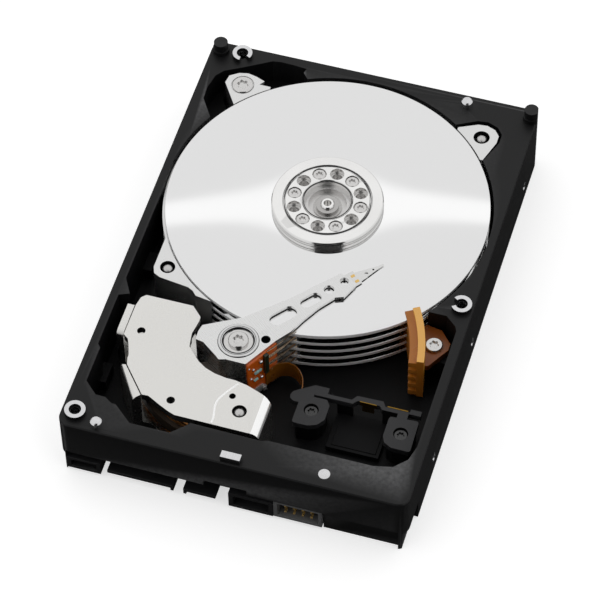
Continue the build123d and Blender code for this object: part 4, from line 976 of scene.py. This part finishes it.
def buildFlexBoard(d):
    # two grids of board points, one on the block and one out on the face, joined by a rim
    low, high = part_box("actuator_flex")
    z0, z1 = low[2], high[2]
    shares = np.linspace(*d["shares"])
    heights = np.linspace(z0, z1, d["rows"])
    outer = np.array([[boardPoint(a, d["thick"] * 0.96, z) for a in shares] for z in heights])
    inner = np.array([[boardPoint(a, 0.02, z) for a in shares] for z in heights])
    front = (outer.reshape(-1, 3), [list(q) for q in gridQuads(d["rows"], len(shares))])
    back = (inner.reshape(-1, 3), [list(q)[::-1] for q in gridQuads(d["rows"], len(shares))])
    edge = np.vstack([outer[0], outer[1:-1, -1], outer[-1][::-1], outer[1:-1, 0][::-1]])
    edgeIn = np.vstack([inner[0], inner[1:-1, -1], inner[-1][::-1], inner[1:-1, 0][::-1]])
    rim = (np.vstack([edge, edgeIn]), [list(q) for q in gridQuads(2, len(edge), False, True)])
    mesh = joined("flex_board", [front, back, rim], False)
    turnOutwards(mesh)
    addPiece("flex_board", mesh, "actuator", "flexRed", ("actuator_flex",))
    axes = ((*sideAlong, 0.0), (0.0, 0.0, 1.0), (*sideOut, 0.0))

    def onBoard(share, standOff, z, sizes, corner):
        # a block on the board's face, its sizes in millimetres
        return pillow(boardPoint(share, d["thick"] + standOff, z), axes, np.array(sizes) * mm, corner)

    blobs = [onBoard(a, -0.02, z * mm, (r * 2, r * 2, r * 1.1), 0.45) for a, z, r in d["blobs"]]
    addPiece("flex_solder_blobs", joined("flex_solder_blobs", blobs), "actuator", "solder")
    bars = [onBoard(a, -0.02, z * mm, (w, h, 0.5), 0.2) for a, z, w, h in d["bars"]]
    addPiece("flex_capacitors", joined("flex_capacitors", bars), "actuator", "cyan")
    # a folded steel clip holds the lower edge of the board
    clip = [onBoard(a, off, z0 + rise * mm, sizes, 0.15) for a, off, rise, sizes in d["clip"]]
    addPiece("flex_clip", joined("flex_clip", clip), "actuator", "clip")
    # wires leave the board level with each arm and close up as they reach it
    wires = []
    for z in armLevels:
        for k in range(d["wireRows"]):
            row = (k - (d["wireRows"] - 1) / 2) * mm
            h = z + row * d["wireGap"]
            path = [boardPoint(a, d["thick"] + off, h - drop * mm) for a, off, drop in d["wireStart"]]
            path += [armPoint(u, v, z + row * gap) for u, v, gap in d["wireEnd"]]
            path = curveThrough(path, 6)
            path[:, 2] = np.clip(path[:, 2], z0 + 0.2 * mm, z1)
            wires.append(tubeGrid(path, d["wireRadius"] * mm, 6))
    addPiece("head_wires", joined("head_wires", wires), "actuator", "wire")


# flex ribbon
ribbon = {
    # from the block to the bracket, in millimetres from the pivot
    "path": [(8.3, -1.6), (9.65, 0.7), (11.1, 2.3), (13.0, 3.2), (15.1, 3.1), (17.2, 1.8), (18.9, -0.5),
             (19.7, -3.0), (19.9, -4.75)],
    "thick": 0.22,
    "steps": 10,
    "rows": 9,
}


def buildRibbon(d):
    # the path is moved half a thickness to either side and carried up; rims close the two sheets
    low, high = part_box("flex_cable")
    line = curveThrough([(pivot[0] + x * mm, pivot[1] + y * mm, 0.0) for x, y in d["path"]], d["steps"])
    along = np.gradient(line, axis=0)
    along /= np.linalg.norm(along, axis=1, keepdims=True)
    side = np.stack([-along[:, 1], along[:, 0], np.zeros(len(line))], 1) * d["thick"] / 2 * mm
    heights = np.linspace(low[2], high[2], d["rows"])
    loop = [line + side, line - side]
    walls = []
    for sheet in loop:
        grid = np.repeat(sheet[None], len(heights), 0)
        grid[:, :, 2] = heights[:, None]
        walls.append((grid.reshape(-1, 3), [list(q) for q in gridQuads(len(heights), len(line))]))
    for z in (heights[0], heights[-1]):
        edge = np.stack(loop)
        edge[:, :, 2] = z
        walls.append((edge.reshape(-1, 3), [list(q) for q in gridQuads(2, len(line))]))
    for k in (0, -1):
        cap = np.array([[(*sheet[k, :2], z) for z in heights] for sheet in loop])
        walls.append((cap.reshape(-1, 3), [list(q) for q in gridQuads(2, len(heights))]))
    mesh = joined("flex_ribbon", walls)
    turnOutwards(mesh)
    mesh.set_sharp_from_angle(angle=radians(40))
    obj = bpy.data.objects.new("flex_ribbon", mesh)
    bpy.context.scene.collection.objects.link(obj)
    mesh.materials.append(mats["polyimide"])
    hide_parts("flex_cable")
    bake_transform(obj)


buildFlexBoard(flexBoard)
buildRibbon(ribbon)
print("flex parts built")


# gold pads on the top load beam
beamPads = {"along": 40.0, "across": (1.45, -0.75), "sizes": (1.3, 0.9, 0.05)}


def buildPads(d):
    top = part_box("suspensions")[1][2] - 0.01 * mm
    along = armPoint(1, 0, 0) - armPoint(0, 0, 0)
    across = armPoint(0, 1, 0) - armPoint(0, 0, 0)
    axes = (along / np.linalg.norm(along), across / np.linalg.norm(across), (0, 0, 1))
    sizes = np.array(d["sizes"]) * mm
    pads = [pillow(armPoint(d["along"], v, top), axes, sizes, 0.2) for v in d["across"]]
    addPiece("beam_pads", joined("beam_pads", pads), "actuator", "gold")


buildPads(beamPads)


# ramp in two plastics
ramp = {
    "footReach": 52.95,  # from the pivot; the brown foot lies farther out, between the two heights
    "footHeights": (13.6, 16.2),
    "split": 50.6,  # from the pivot to the line between the toothed strip and the outer one
    "skin": 0.3,
}


def buildRamp(d):
    # the toothed inner strip is the deeper amber; faces turned to the front take the deeper amber as painted
    # shade, and the outer strip's top the palest amber as a painted highlight
    mesh = refined("load_ramp", ("amber", "brown", "amberDeepAndShade", "amberPaleHighlight"), 0.06).data
    centre, normal = facts(mesh, "center"), facts(mesh, "normal")
    reach = np.hypot(centre[:, 0] - pivot[0], centre[:, 1] - pivot[1])
    footLow, footHigh = (h * mm for h in d["footHeights"])
    foot = (reach > d["footReach"] * mm) & (centre[:, 2] < footHigh) & (centre[:, 2] > footLow)
    index = foot.astype(int)
    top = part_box("load_ramp")[1][2] - d["skin"] * mm
    index[~foot & (reach < d["split"] * mm)] = 2
    # painted shade: faces turned to the front are darkened
    index[~foot & (normal[:, 1] < -0.5)] = 2
    # painted highlight: the outer strip's top is paler
    index[~foot & (reach > d["split"] * mm) & (centre[:, 2] > top)] = 3
    mesh.polygons.foreach_set("material_index", index)


buildRamp(ramp)


# domed studs seen in the ear holes and in the magnet plate
domes = {"radius": 1.45, "rise": 0.5, "neck": 3, "plateSink": 0.06, "earSink": 0.1}
axisGap = 0.00001 * mm  # a lathe profile starts this close to its axis, where its points become one


def buildDome(name, centre, top, replaced=()):
    # a quarter ellipse turned round the hole's axis, on a short neck
    r, foot = domes["radius"] * mm, top - domes["neck"] * mm
    t = np.linspace(0, pi / 2, 12)
    profile = [(axisGap, top)] + [(r * sin(a), top - r * domes["rise"] * (1 - cos(a))) for a in t[1:]]
    profile += [(r, foot), (axisGap, foot)]
    addPiece(name, latheMesh(name, centre, profile, 48), "base", "stud", replaced)


def buildDomes(d):
    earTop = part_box("separator_plate_1")[1][2] - d["earSink"] * mm
    for k, (dx, dy, _) in enumerate(holes["ear"]):
        buildDome(f"ear_stud_{k + 1}", spindle + np.array([dx, dy]) * mm, earTop)
    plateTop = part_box("magnet_plate_top")[1][2] - d["plateSink"] * mm
    place = pivot + np.array(holes["plate"][-1][:2]) * mm
    buildDome("magnet_plate_stud", place, plateTop, ("magnet_screw",))


buildDomes(domes)


# flush bright spot near the front edge
spot = {"place": (25.9, -69.1), "radius": 1.65, "flat": 0.94, "rise": 0.05, "rim": 0.01, "sink": 0.3}


def buildSpot(d):
    # a thin round button whose top slopes a little to its rim
    r, top, foot = d["radius"] * mm, deckZ + d["rise"] * mm, deckZ - d["sink"] * mm
    profile = [(axisGap, top), (r * d["flat"], top), (r, deckZ + d["rim"] * mm), (r, foot), (axisGap, foot)]
    mesh = latheMesh("front_spot", np.array(d["place"]) * mm, profile, 48)
    addPiece("front_spot", mesh, "base", "machined")


buildSpot(spot)


# the bend line on the upper magnet plate: a raised line drawn near-white and glowing, as a painted highlight
bend = {
    "path": [(4.0, -13.1), (2.0, -16.3), (0.4, -19.3), (0.0, -21.8), (0.7, -25.8), (0.8, -28.0)],
    "radius": 0.34,
    "sink": 0.16,
    "glow": 0.22,
}


def buildBend(d):
    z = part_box("magnet_plate_top")[1][2] - d["sink"] * mm
    path = curveThrough([(pivot[0] + x * mm, pivot[1] + y * mm, z) for x, y in d["path"]], 8)
    mesh = joined("plate_bend", [tubeGrid(path, d["radius"] * mm, 14)])
    addPiece("plate_bend", mesh, "base", "bendLine")


buildBend(bend)
glow("bendLine", bend["glow"])


# fine turned seams round the pivot and the clamp
seams = {
    "pivot": ((5.85, 0.22, 0.2), (5.0, 0.14, 0.18), (4.5, 0.26, 0.18)),  # radius, width and depth
    "clampTop": ((12.7, 0.24), (7.0, 0.20)),
    "clampWall": (0.28, 0.62),  # shares of the clamp's height
    "clampDeep": 0.2,
    "clampRise": 0.03,
    "pivotRise": 0.02,
    "wallWidth": 0.16,
    "wallDeep": 0.3,
    "wallRise": 0.01,
}


def squareRing(name, centre, radii, heights, steps, body, material):
    # a four-cornered profile turned round the upright axis
    (r0, r1), (low, top) = radii, heights
    profile = [(r0, low), (r1, low), (r1, top), (r0, top), (r0, low)]
    addPiece(name, latheMesh(name, centre, profile, steps), body, material)


def buildSeams(d):
    # narrow rings let into the top faces at the joints between sleeve, race and screw
    for k, (radius, width, deep) in enumerate(d["pivot"]):
        radii = ((radius - width / 2) * mm, (radius + width / 2) * mm)
        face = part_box("pivot_sleeve" if k > 0 else "actuator_block")[1][2]
        heights = (face - deep * mm, face + d["pivotRise"] * mm)
        squareRing(f"pivot_seam_{k + 1}", pivot, radii, heights, 96, "actuator", "holeDark")


def buildClampSeams(d):
    # dark turned lines: two on the clamp's top and two round its wall
    low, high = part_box("disc_clamp")
    reach = (high[0] - low[0]) / 2
    for k, (radius, width) in enumerate(d["clampTop"]):
        radii = (radius * mm - width * mm / 2, radius * mm + width * mm / 2)
        heights = (high[2] - d["clampDeep"] * mm, high[2] + d["clampRise"] * mm)
        squareRing(f"clamp_seam_{k + 1}", spindle, radii, heights, 128, "spindle", "darkScrew")
    for k, share in enumerate(d["clampWall"]):
        z = low[2] + share * (high[2] - low[2])
        radii = (reach - d["wallDeep"] * mm, reach + d["wallRise"] * mm)
        heights = (z, z + d["wallWidth"] * mm)
        squareRing(f"clamp_line_{k + 1}", spindle, radii, heights, 128, "spindle", "darkScrew")


buildSeams(seams)
buildClampSeams(seams)
print("small parts built")
